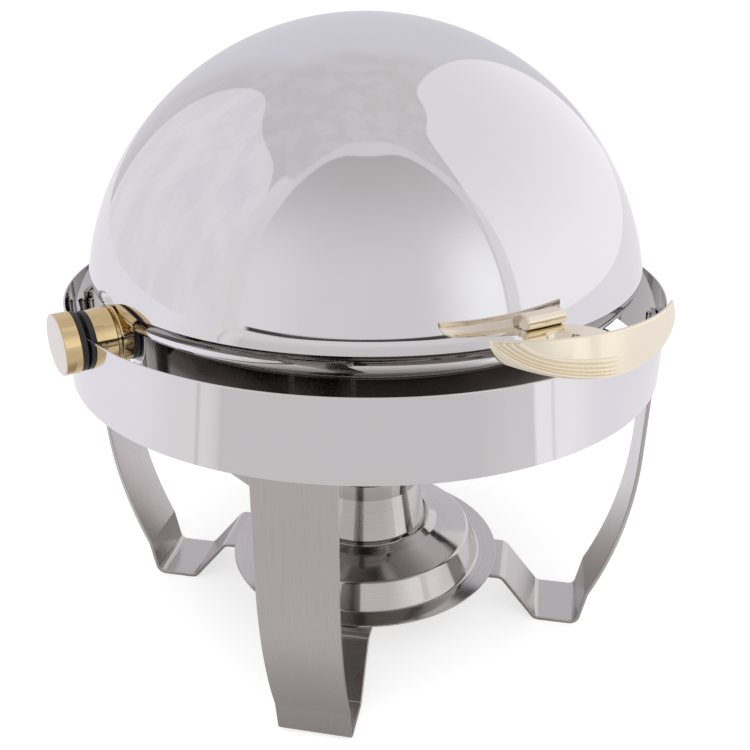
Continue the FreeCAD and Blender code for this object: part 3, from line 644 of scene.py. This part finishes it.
def make_plate():
    """The stepped tray under the burner. Each step has a radius, a rise above the rim, and how far
    its bend is rounded below and above."""
    level, w = FLOOR + PLATE_LEVEL, PLATE_WALL
    below = [(radius - w, level + rise - w, ease) for radius, rise, ease, _ in PLATE_STEPS]
    above = [(radius, level + rise, ease) for radius, rise, _, ease in reversed(PLATE_STEPS)]
    turned("fuel_plate", "frame", "burner_steel", [
        (0, level + PLATE_RISE - w, 0), *below, (PLATE_RIM, level - w, 0.5), (PLATE_RIM, level, 0.5),
        *above, (0, level + PLATE_RISE, 0)], closed=False, segments=256)


def make_cradle():
    """The hoop that carries the water pan, with its arms and lugs."""
    turned("pan_cradle", "frame", "cradle_steel", [
        (HOOP_INNER, HOOP_LOW, 0.5), (HOOP_OUTER, HOOP_LOW, 0.5), (HOOP_OUTER, HOOP_TOP, 0.5),
        (HOOP_INNER, HOOP_TOP, 0.5)], segments=256)
    for name, _ in SIDES:
        soften("cradle_arm_" + name, "cradle_steel")
        soften("cradle_lug_" + name, "cradle_steel")


# ---------------------------------------------------------------- pivots

KNOB_RADIUS = 20.0
KNOB_BACK = 225.0
KNOB_FACE = 235.6
BARREL_OUTER = 215.0
BARREL_SEAM = 201.2
BARREL_INNER = 191.0
BARREL_WIDE = 19.4
BARREL_WAIST = 18.9
BARREL_END = 18.2
GROOVE_RADIUS = 17.6
GROOVE_NEAR = 199.2
# Each washer has a radius, its two faces' distances from the middle, a rounding and a material.
WASHERS = {
    "knob_washer": (19.4, 221.1, KNOB_BACK, 0.7, "rubber"),
    "ring_washer": (18.6, BARREL_OUTER, 218.6, 0.7, "rubber"),
    "dome_washer": (18.6, 187.2, BARREL_INNER, 0.7, "rubber"),
    "thrust_washer": (9.0, 184.5, 185.6, 0.3, "nylon"),
}


def make_pivots():
    """Knob, washers, two-part barrel, bolt and nut on each side."""
    for name, side in SIDES:
        turn = {"axis": "X", "side": side, "segments": 128}
        turned("pivot_knob_" + name, "frame", "polished_brass", [
            (0, KNOB_BACK, 0), (KNOB_RADIUS, KNOB_BACK, 0.5), (KNOB_RADIUS, KNOB_FACE, 0.9),
            (0, KNOB_FACE, 0)], finish="knob_brass", closed=False, **turn)
        for label, (outer, near, far, edge, slot) in WASHERS.items():
            turned(f"{label}_{name}", "frame", slot, [
                (BOLT_BORE, near, 0.2), (outer, near, edge), (outer, far, edge),
                (BOLT_BORE, far, 0.2)], **turn)
        turned("barrel_outer_" + name, "frame", "polished_brass", [
            (BOLT_BORE, BARREL_SEAM, 0.2), (BARREL_WIDE, BARREL_SEAM, 1.0), (BARREL_WAIST, 208.5, 30),
            (BARREL_END, BARREL_OUTER, 0.5), (BOLT_BORE, BARREL_OUTER, 0.2)], **turn)
        turned("barrel_inner_" + name, "frame", "polished_brass", [
            (BOLT_BORE, BARREL_INNER, 0.2), (BARREL_END, BARREL_INNER, 0.5),
            (BARREL_WIDE, GROOVE_NEAR, 1.0), (GROOVE_RADIUS, GROOVE_NEAR, 0.2),
            (GROOVE_RADIUS, BARREL_SEAM, 0.2), (BOLT_BORE, BARREL_SEAM, 0.2)], **turn)
        soften("pivot_bolt_" + name, "bright_steel", 0.2)
        soften("pivot_nut_" + name, "bright_steel", 0.3)


# ---------------------------------------------------------------- handle

HANDLE_TURN = -4.2
HANDLE = Matrix.Rotation(math.radians(HANDLE_TURN), 4, "Z")
MOUNT_HALF = 14.0
MOUNT_LOW = 31.05
MOUNT_TOP = 39.5
MOUNT_FRONT = 208.0
MOUNT_DEEP = 12.0
MOUNT_EASE = 0.9
MOUNT_CLEAR = 0.03
NOSE_SHARE = 0.98
GRIP_HALF = 65.0
GRIP_REACH = 259.5
GRIP_CURVE = 112.8
GRIP_FLARE = 6.0 / 23.0
GRIP_TOP = 47.0
GRIP_THICK = 4.9
GRIP_EASE = 1.0
SMILE_RADIUS = 165.0
SMILE_LOW = 24.0
TIP_ROUND = 6.0
TIP_RISE = 4.5
TIP_LONG = 3.0
TIP_EASE = 1.5
TIP_THIN = 0.75
TIP_SHRINK = 1.4
RIDGE_END = 5.0
RIDGE_HIGH = 1.2
RIDGE_DROP = 6.5
RIDGE_STARTS = (-52.0, -56.0, -59.5, -62.5, -65.0)
RIDGE_SHARES = (0.44, 0.32, 0.21, 0.11, 0.03)
RIDGE_START = 0.9
RIDGE_FAN = 0.1
RIDGE_LEAN = 0.7
RIDGE_CROWN = 2.6
RIDGE_FADE = 0.14
FACE_ROWS = 190
EDGE_ROWS = 6
BACK_ROWS = 6
GRIP_THIN = 0.42
GRIP_TAPER = 13.0


def make_mount():
    """The round-nosed bar, its back pressed to the dome's curve and its ends eased."""
    nose = (MOUNT_TOP - MOUNT_LOW) / 2
    back = MOUNT_FRONT - MOUNT_DEEP
    section, slopes = rounded([
        (back, MOUNT_LOW, 0), (MOUNT_FRONT, MOUNT_LOW, nose * NOSE_SHARE),
        (MOUNT_FRONT, MOUNT_TOP, nose * NOSE_SHARE), (back, MOUNT_TOP, 0)], steps=10)
    ease = np.linspace(0, math.pi / 2, EDGE_ROWS)
    inset = MOUNT_EASE * (1 - np.sin(ease))
    inset = np.concatenate([inset, inset[::-1]])
    edge = MOUNT_HALF - MOUNT_EASE * (1 - np.cos(ease))
    across = np.concatenate([-edge, edge[::-1]])
    lean = np.concatenate([-np.cos(ease), np.cos(ease[::-1])])
    flat = np.sqrt(1 - lean ** 2)
    out = section[None, :, 0] - slopes[None, :, 0] * inset[:, None]
    level = section[None, :, 1] - slopes[None, :, 1] * inset[:, None]
    side = np.broadcast_to(across[:, None], out.shape)
    dome = np.sqrt(DOME_RADIUS ** 2 - side ** 2 - (level + DOME_DROP) ** 2)
    out = np.maximum(out, dome + MOUNT_CLEAR)
    grid = np.stack([side, -out, level], -1)
    normals = np.stack([np.broadcast_to(lean[:, None], out.shape),
                        -slopes[None, :, 0] * flat[:, None], slopes[None, :, 1] * flat[:, None]], -1)
    piece = Piece()
    piece.add_grid(grid, normals, wrap_columns=True)
    piece.add_cap(grid[0], (-1, 0, 0))
    piece.add_cap(grid[-1], (1, 0, 0))
    piece.build("shown_handle_mount", "dome", ["handle_mount"], "pale_brass", HANDLE)


def ridge_lift(across, share):
    """How far the feathered ridges stand out: they sweep down from the grip's left tip along its
    lower edge, and fade at its middle."""
    way = np.clip((across + GRIP_HALF) / (RIDGE_END + GRIP_HALF), 0, 1)
    lines = [end + RIDGE_FAN * (1 - way) + (RIDGE_START - end) * np.exp(-(across - start) / RIDGE_DROP)
             for start, end in zip(RIDGE_STARTS, RIDGE_SHARES)]
    lines.append(np.zeros_like(across) - 0.03)
    lift = np.zeros_like(across)
    for upper, lower in zip(lines[:-1], lines[1:]):
        place = (upper - share) / np.maximum(upper - lower, 1e-6)
        inside = (place > 0) & (place < 1)
        roll = 1 - np.abs(2 * np.clip(place, 0, 1) ** RIDGE_LEAN - 1) ** RIDGE_CROWN
        lift = np.where(inside, RIDGE_HIGH * roll, lift)
    fade = np.clip((1 - way) / RIDGE_FADE, 0, 1)
    tip = np.clip((across + GRIP_HALF) / TIP_LONG, 0.1, 1)
    return lift * fade * tip


def grid_normals(grid):
    """Normals of a tube of points by differences between neighbours, turned to face outward."""
    across = (np.roll(grid, -1, 1) - np.roll(grid, 1, 1)) / 2
    normals = np.cross(np.gradient(grid, axis=0), across)
    normals /= np.maximum(np.linalg.norm(normals, axis=-1, keepdims=True), 1e-12)
    facing = ((grid - grid.mean(1, keepdims=True)) * normals).sum()
    return normals if facing > 0 else -normals


def grip_section():
    """The band's cut: for each point round it, its share of the height, its depth and its shift."""
    turn = np.linspace(0, math.pi / 2, EDGE_ROWS)
    face = np.linspace(0, 1, FACE_ROWS)
    rounds = (GRIP_EASE * (1 - np.cos(turn)), GRIP_EASE * (1 - np.sin(turn)))
    back = np.linspace(1, 0, BACK_ROWS + 2)[1:-1]
    share = np.concatenate([face, np.ones(2 * EDGE_ROWS), back, np.zeros(2 * EDGE_ROWS)])
    depth = np.concatenate([0 * face, rounds[0], GRIP_THICK - rounds[1], GRIP_THICK + 0 * back,
                            GRIP_THICK - rounds[0], rounds[1]])
    rise = GRIP_EASE * np.sin(turn)
    fall = GRIP_EASE * np.cos(turn)
    shift = np.concatenate([0 * face, rise, fall, 0 * back, -rise, -fall])
    return share, depth, shift


def make_grip():
    """The crescent: a bent band, level on top, with a smile below and ridges on its left half."""
    middle_end = GRIP_HALF - TIP_LONG
    tip = np.linspace(middle_end, GRIP_HALF, 9)
    across = np.concatenate([-tip[::-1], np.linspace(-middle_end, middle_end, 261)[1:-1], tip])
    size = np.abs(across)
    bottom = (SMILE_LOW + SMILE_RADIUS - np.sqrt(SMILE_RADIUS ** 2 - across ** 2)
              + TIP_RISE * np.clip((size - GRIP_HALF + TIP_ROUND) / TIP_ROUND, 0, 1) ** 2)
    nose = np.sqrt(1 - np.clip((size - GRIP_HALF + TIP_EASE) / TIP_EASE, 0, 1) ** 2 * TIP_THIN)
    shrink = TIP_SHRINK * (1 - nose)
    share, depth, shift = grip_section()
    low = bottom + shrink + GRIP_EASE
    high = GRIP_TOP - shrink - GRIP_EASE
    level = low[:, None] + (high - low)[:, None] * share[None] + shift[None] * nose[:, None]
    lift = np.zeros_like(level)
    wide = np.broadcast_to(across[:, None], (len(across), FACE_ROWS))
    lift[:, :FACE_ROWS] = ridge_lift(wide, np.broadcast_to(share[None, :FACE_ROWS], wide.shape))
    middle = GRIP_THICK / 2
    thin = np.clip((GRIP_TOP - level) / GRIP_TAPER, GRIP_THIN, 1)
    sunk = (middle + (depth[None] - middle) * nose[:, None]) * thin
    radius = GRIP_CURVE + (GRIP_TOP - level) * GRIP_FLARE - sunk + lift
    reach = GRIP_REACH - GRIP_CURVE + np.sqrt(radius ** 2 - across[:, None] ** 2)
    grid = np.stack([np.broadcast_to(across[:, None], level.shape), -reach, level], -1)
    piece = Piece()
    piece.add_grid(grid, grid_normals(grid), wrap_columns=True)
    piece.add_cap(grid[0], (-1, 0, 0))
    piece.add_cap(grid[-1], (1, 0, 0))
    piece.build("shown_handle_grip", "dome", ["handle_grip"], "pale_brass", HANDLE)


def make_handle():
    """The bar on the dome, the pierced arm, the grip and the screws."""
    make_mount()
    make_grip()
    soften("handle_arm", "pale_brass", 0.9)
    soften("handle_screws", "bright_steel", 0.3)


# ---------------------------------------------------------------- pans and burner

PAN_LIP = 176.0
WATER_FLOOR = -72.0
WATER_SHOULDER = -46.0
WATER_TOP = -3.0
WATER_WALL = 174.5
FOOD_FLOOR = -57.0
FOOD_TOP = -1.9
FOOD_WALL = 168.0
CUP_SEAT = FLOOR + PLATE_LEVEL + PLATE_RISE + 0.05
CUP_TOP = CUP_SEAT + 49.0
CUP_RADIUS = 44.0
CUP_WALL = 1.2
CUP_FOOT = 50.0
CUP_FLARE_END = CUP_SEAT + 36.0
COVER_HOLE = 20.0
COVER_RIM = 44.4
COVER_TOP = CUP_TOP + 9.0


def make_pans():
    """The water pan on its shoulder, its outer wall and lip painted dark as shade, and the food pan on
    its flange.
    """
    inner = WATER_WALL - 1
    turned("water_pan", "water_pan", "pan_steel", [
        (0, WATER_FLOOR, 0), (168, WATER_FLOOR, 9), (171, WATER_SHOULDER, 1.2),
        (WATER_WALL, WATER_SHOULDER, 1.2), (WATER_WALL, WATER_TOP, 0.8), (PAN_LIP, WATER_TOP, 0.4),
        (PAN_LIP, WATER_TOP + 1, 0.4), (inner, WATER_TOP + 1, 1.2), (inner, WATER_SHOULDER + 1, 1.2),
        (170, WATER_SHOULDER + 1, 1.2), (167, WATER_FLOOR + 1, 8), (0, WATER_FLOOR + 1, 0)],
        finish="water_pan_steel_shaded_outside", closed=False, segments=256)
    turned("food_pan", "food_pan", "pan_steel", [
        (0, FOOD_FLOOR, 0), (161, FOOD_FLOOR, 14), (FOOD_WALL, FOOD_TOP, 1.2), (PAN_LIP, FOOD_TOP, 0.4),
        (PAN_LIP, FOOD_TOP + 1, 0.4), (FOOD_WALL - 1, FOOD_TOP + 1, 1.6), (160, FOOD_FLOOR + 1, 13),
        (0, FOOD_FLOOR + 1, 0)], closed=False, segments=256)


def make_burner():
    """The flared cup, its cover with a folded rim, the snuffer and its pin."""
    inner = CUP_RADIUS - CUP_WALL
    turned("fuel_cup", "burner", "burner_steel", [
        (0, CUP_SEAT, 0), (48, CUP_SEAT, 1.2), (CUP_FOOT, CUP_SEAT + 2, 1.0),
        (CUP_RADIUS, CUP_FLARE_END, 6), (CUP_RADIUS, CUP_TOP, 0.5), (inner, CUP_TOP, 0.5),
        (inner, CUP_FLARE_END, 6), (48.6, CUP_SEAT + 2.5, 0.6), (47, CUP_SEAT + CUP_WALL, 0.6),
        (0, CUP_SEAT + CUP_WALL, 0)], closed=False, segments=160)
    turned("fuel_cup_cover", "burner", "burner_steel", [
        (COVER_HOLE, COVER_TOP - CUP_WALL, 0.4), (41.4, COVER_TOP - CUP_WALL, 0.4),
        (41.4, CUP_TOP - 6, 0.4), (42.5, CUP_TOP - 6, 0.4), (42.5, CUP_TOP + 1.2, 0.3),
        (COVER_RIM, CUP_TOP + 1.2, 0.4), (COVER_RIM, COVER_TOP, 1.8), (COVER_HOLE, COVER_TOP, 0.5)],
        segments=160)
    soften("snuffer_plate", "burner_steel", 0.35)
    soften("snuffer_pin", "bright_steel", 0.2)


# ---------------------------------------------------------------- stage

DEGREES = 180 / math.pi
FLOOR_SIZE = 60.0
FLOOR_GAP = 0.001
BACKDROP_RADIUS = 29.0
LAMP_SIZE = 2.4
LAMP_POWER = 26.0
LAMP_PLACE = Vector((-0.7, -1.0, 2.4))
LAMP_AIM = Vector((0, 0, 0.2))

# Panels of the surroundings, in degrees: middle, half width, bottom, top, squareness and softness.
CLOTH_PANEL = (-96.0, 43.0, -10.0, 58.0, 5.0, 0.03)
BRIGHT_PANEL = (105.0, 49.0, -10.0, 72.0, 5.0, 0.025)
FOLDED_EDGE = (-52.0, 6.5, -10.0, 56.0, 6.0, 0.12)
ARCH_HEM = (3.0, 58.0, 2.0, 78.0, 3.6, 0.04)
ARCH = (3.0, 52.0, 2.0, 72.0, 4.2, 0.03)

# Where the mirrored floor changes, in degrees from the camera's side: from, to and the new colour.
FLOOR_CHANGES = (
    (-42.0, -50.0, (0.80, 0.775, 0.78)),
    (-58.0, -78.0, (0.86, 0.85, 0.89)),
    (30.0, 48.0, (0.72, 0.70, 0.705)),
    (52.0, 54.0, (0.96, 0.95, 0.95)),
    (66.0, 84.0, (0.87, 0.845, 0.885)),
)
FLOOR_SEAMS = ((-52.5, 0.5), (-44.0, 0.25), (60.0, 0.3))


def panel_mask(tree, azimuth, height, panel):
    """1 inside a round-shouldered panel of the surroundings, by direction in degrees."""
    centre, half, low, top, power, soft = panel
    side = math_node(tree, "ABSOLUTE", math_node(tree, "DIVIDE", math_node(
        tree, "SUBTRACT", azimuth, centre), half))
    rise = math_node(tree, "MAXIMUM", math_node(tree, "DIVIDE", math_node(
        tree, "SUBTRACT", height, low), top - low), 0.0)
    total = math_node(tree, "ADD", math_node(tree, "POWER", side, power),
                      math_node(tree, "POWER", rise, power))
    return remap(tree, total, 1 - soft, 1 + soft, 1.0, 0.0)


def bearings(tree, vector):
    """The azimuth in degrees from the camera's side, right positive, and the turned vector with its
    separate parts."""
    turned_way = node(tree, "ShaderNodeVectorRotate", {"Vector": vector, "Angle": -CAMERA_TURN},
                      rotation_type="Z_AXIS").outputs[0]
    parts = node(tree, "ShaderNodeSeparateXYZ", {0: turned_way})
    toward = math_node(tree, "MULTIPLY", parts.outputs["Y"], -1.0)
    angle = math_node(tree, "ARCTAN2", parts.outputs["X"], toward)
    azimuth = math_node(tree, "MULTIPLY", angle, DEGREES)
    return azimuth, turned_way, parts


def off_centre(tree, value, centre):
    """How far a value is from a centre, either way."""
    return math_node(tree, "ABSOLUTE", math_node(tree, "SUBTRACT", value, centre))


def make_surroundings():
    """Plain studio surroundings: a grey room between two broad white panels, by direction."""
    world = bpy.data.worlds.new("studio")
    bpy.context.scene.world = world
    world.use_nodes = True
    tree = new_tree(world.node_tree)
    direction = node(tree, "ShaderNodeTexCoord").outputs["Generated"]
    azimuth, turned_way, parts = bearings(tree, direction)
    height = math_node(tree, "MULTIPLY", math_node(tree, "ARCSINE", parts.outputs["Z"]), DEGREES)

    ripple = noise(tree, node(tree, "ShaderNodeMapping", {
        "Vector": turned_way, "Scale": (3.2, 3.2, 0.9)}).outputs[0], 2.4, 3.0, 0.55)
    ceiling = blend_colours(tree, remap(tree, ripple, 0.42, 0.6, 0.0, 1.0),
                            (0.63, 0.61, 0.615), (0.665, 0.65, 0.66))
    rear = remap(tree, math_node(tree, "ABSOLUTE", azimuth), 140.0, 156.0, 0.0, 1.0)
    rear_low = math_node(tree, "MULTIPLY", rear, remap(tree, height, 50.0, 62.0, 1.0, 0.0))
    colour = blend_colours(tree, rear_low, ceiling, (0.70, 0.69, 0.74))

    left = panel_mask(tree, azimuth, height, CLOTH_PANEL)
    cloth = blend_colours(tree, remap(tree, ripple, 0.35, 0.65, 0.0, 1.0),
                          (0.775, 0.77, 0.80), (0.83, 0.82, 0.845))
    colour = blend_colours(tree, left, colour, cloth)
    right = panel_mask(tree, azimuth, height, BRIGHT_PANEL)
    bright = blend_colours(tree, remap(tree, height, 5.0, 60.0, 0.0, 1.0),
                           (1.0, 0.985, 0.995), (0.84, 0.815, 0.85))
    colour = blend_colours(tree, right, colour, bright)
    folds = panel_mask(tree, azimuth, height, FOLDED_EDGE)
    colour = blend_colours(tree, folds, colour, (0.80, 0.775, 0.775))
    hem = panel_mask(tree, azimuth, height, ARCH_HEM)
    colour = blend_colours(tree, math_node(tree, "MULTIPLY", hem, 0.7), colour, (0.76, 0.74, 0.75))

    arch = panel_mask(tree, azimuth, height, ARCH)
    outer = remap(tree, off_centre(tree, azimuth, ARCH[0]), 16.0, 46.0, 0.0, 1.0)
    low_corner = math_node(tree, "MULTIPLY", remap(tree, height, 16.0, 50.0, 1.0, 0.0), outer)
    grey = blend_colours(tree, remap(tree, height, 24.0, 76.0, 0.0, 1.0),
                         (0.725, 0.705, 0.715), (0.49, 0.475, 0.48))
    grey = blend_colours(tree, low_corner, grey, blend_colours(
        tree, remap(tree, azimuth, -20.0, 20.0, 0.0, 1.0), (0.79, 0.785, 0.79), (1.02, 1.02, 1.02)))
    colour = blend_colours(tree, arch, colour, grey)

    line = math_node(tree, "MULTIPLY", remap(tree, off_centre(tree, height, 2.4), 0.5, 0.9, 1.0, 0.0),
                     remap(tree, off_centre(tree, azimuth, -1.0), 43.0, 46.0, 1.0, 0.0))
    below = remap(tree, height, 1.6, 2.2, 1.0, 0.0)
    front = remap(tree, math_node(tree, "ABSOLUTE", azimuth), 46.0, 52.0, 1.0, 0.0)
    colour = blend_colours(tree, math_node(tree, "MULTIPLY", below, front), colour, (0.76, 0.73, 0.72))
    colour = blend_colours(tree, line, colour, (0.06, 0.055, 0.06))
    background = node(tree, "ShaderNodeBackground", {"Color": colour, "Strength": 1.0})
    node(tree, "ShaderNodeOutputWorld", {"Surface": background.outputs[0]})


def make_mirrored_floor():
    """The floor as the metal sees it: dark under the dish, grey in front, paler to both sides."""
    material, tree = start_material("floor_mirrored")
    shifted = node(tree, "ShaderNodeVectorMath", {0: place_on_object(tree), 1: (0, AXIS_Y, 0)},
                   operation="SUBTRACT").outputs[0]
    azimuth, _, _ = bearings(tree, shifted)
    reach = node(tree, "ShaderNodeVectorMath", {0: shifted}, operation="LENGTH").outputs["Value"]
    colour = blend_colours(tree, remap(tree, reach, 0.6, 2.4, 0.0, 1.0),
                           (0.645, 0.625, 0.63), (0.76, 0.73, 0.72))
    for begins, ends, other in FLOOR_CHANGES:
        colour = blend_colours(tree, remap(tree, azimuth, begins, ends, 0.0, 1.0), colour, other)
    for centre, deep in FLOOR_SEAMS:
        seam = remap(tree, off_centre(tree, azimuth, centre), 0.3, 1.1, deep, 0.0)
        colour = blend_colours(tree, seam, colour, (0.55, 0.53, 0.52))
    shade = remap(tree, reach, 0.14, 0.30, 1.0, 0.0)
    colour = blend_colours(tree, shade, colour, (0.30, 0.28, 0.27))
    light = node(tree, "ShaderNodeEmission", {"Color": colour, "Strength": 1.0})
    end_material(tree, light)
    return material


def glowing(name, albedo, glow):
    """A pale surface that gives off a little light of its own, so that it stays even."""
    material, tree = start_material(name)
    mottle = noise(tree, place_on_object(tree), 3.0, 2.0)
    colour = blend_colours(tree, mottle, (albedo, albedo, albedo), (albedo * 0.985,) * 3)
    diffuse = node(tree, "ShaderNodeBsdfDiffuse", {"Color": colour})
    light = node(tree, "ShaderNodeEmission", {"Color": (1, 1, 1, 1), "Strength": glow})
    both = node(tree, "ShaderNodeAddShader", {0: diffuse.outputs[0], 1: light.outputs[0]})
    end_material(tree, both)
    return material


def show_only_to(thing, *rays):
    """Leave a stage object visible to these kinds of rays only."""
    for ray in ("camera", "diffuse", "glossy", "transmission", "shadow"):
        setattr(thing, "visible_" + ray, ray in rays)


def make_floor_sheet(name, material, height, *rays):
    """A flat sheet under the whole scene, seen by some kinds of rays only."""
    bpy.ops.mesh.primitive_grid_add(x_subdivisions=2, y_subdivisions=2, size=FLOOR_SIZE)
    sheet = bpy.context.object
    sheet.name = name
    sheet.location.z = height
    sheet.data.materials.append(material)
    show_only_to(sheet, *rays)
    return sheet


def make_stage():
    """A plain pale floor with its mirrored look, and a plain white backdrop for the camera only."""
    floor = make_floor_sheet("floor", glowing("floor_pale", 0.55, 0.66), 0, "camera", "diffuse", "shadow")
    mirrored = make_floor_sheet("floor_mirrored", make_mirrored_floor(), -FLOOR_GAP, "glossy")
    bpy.ops.mesh.primitive_uv_sphere_add(segments=48, ring_count=24, radius=BACKDROP_RADIUS)
    backdrop = bpy.context.object
    backdrop.name = "backdrop"
    backdrop.data.materials.append(glowing("backdrop_white", 0.0, 1.0))
    show_only_to(backdrop, "camera")


def make_lights():
    """One broad soft light from above and in front, unseen in the mirror surfaces."""
    data = bpy.data.lights.new("overhead", "AREA")
    data.shape = "DISK"
    data.size = LAMP_SIZE
    data.energy = LAMP_POWER
    lamp = bpy.data.objects.new("overhead", data)
    bpy.context.scene.collection.objects.link(lamp)
    lamp.location = LAMP_PLACE
    lamp.rotation_euler = (LAMP_AIM - LAMP_PLACE).to_track_quat("-Z", "Y").to_euler()
    lamp.visible_glossy = False
    lamp.visible_camera = False


make_camera()
make_surroundings()
make_stage()
make_lights()
make_dome()
make_ring()
for leg_name, leg_turn in LEGS:
    make_leg(leg_name, leg_turn)
make_welds()
make_plate()
make_cradle()
make_pivots()
make_handle()
make_pans()
make_burner()
bpy.context.scene.view_settings.view_transform = "Standard"
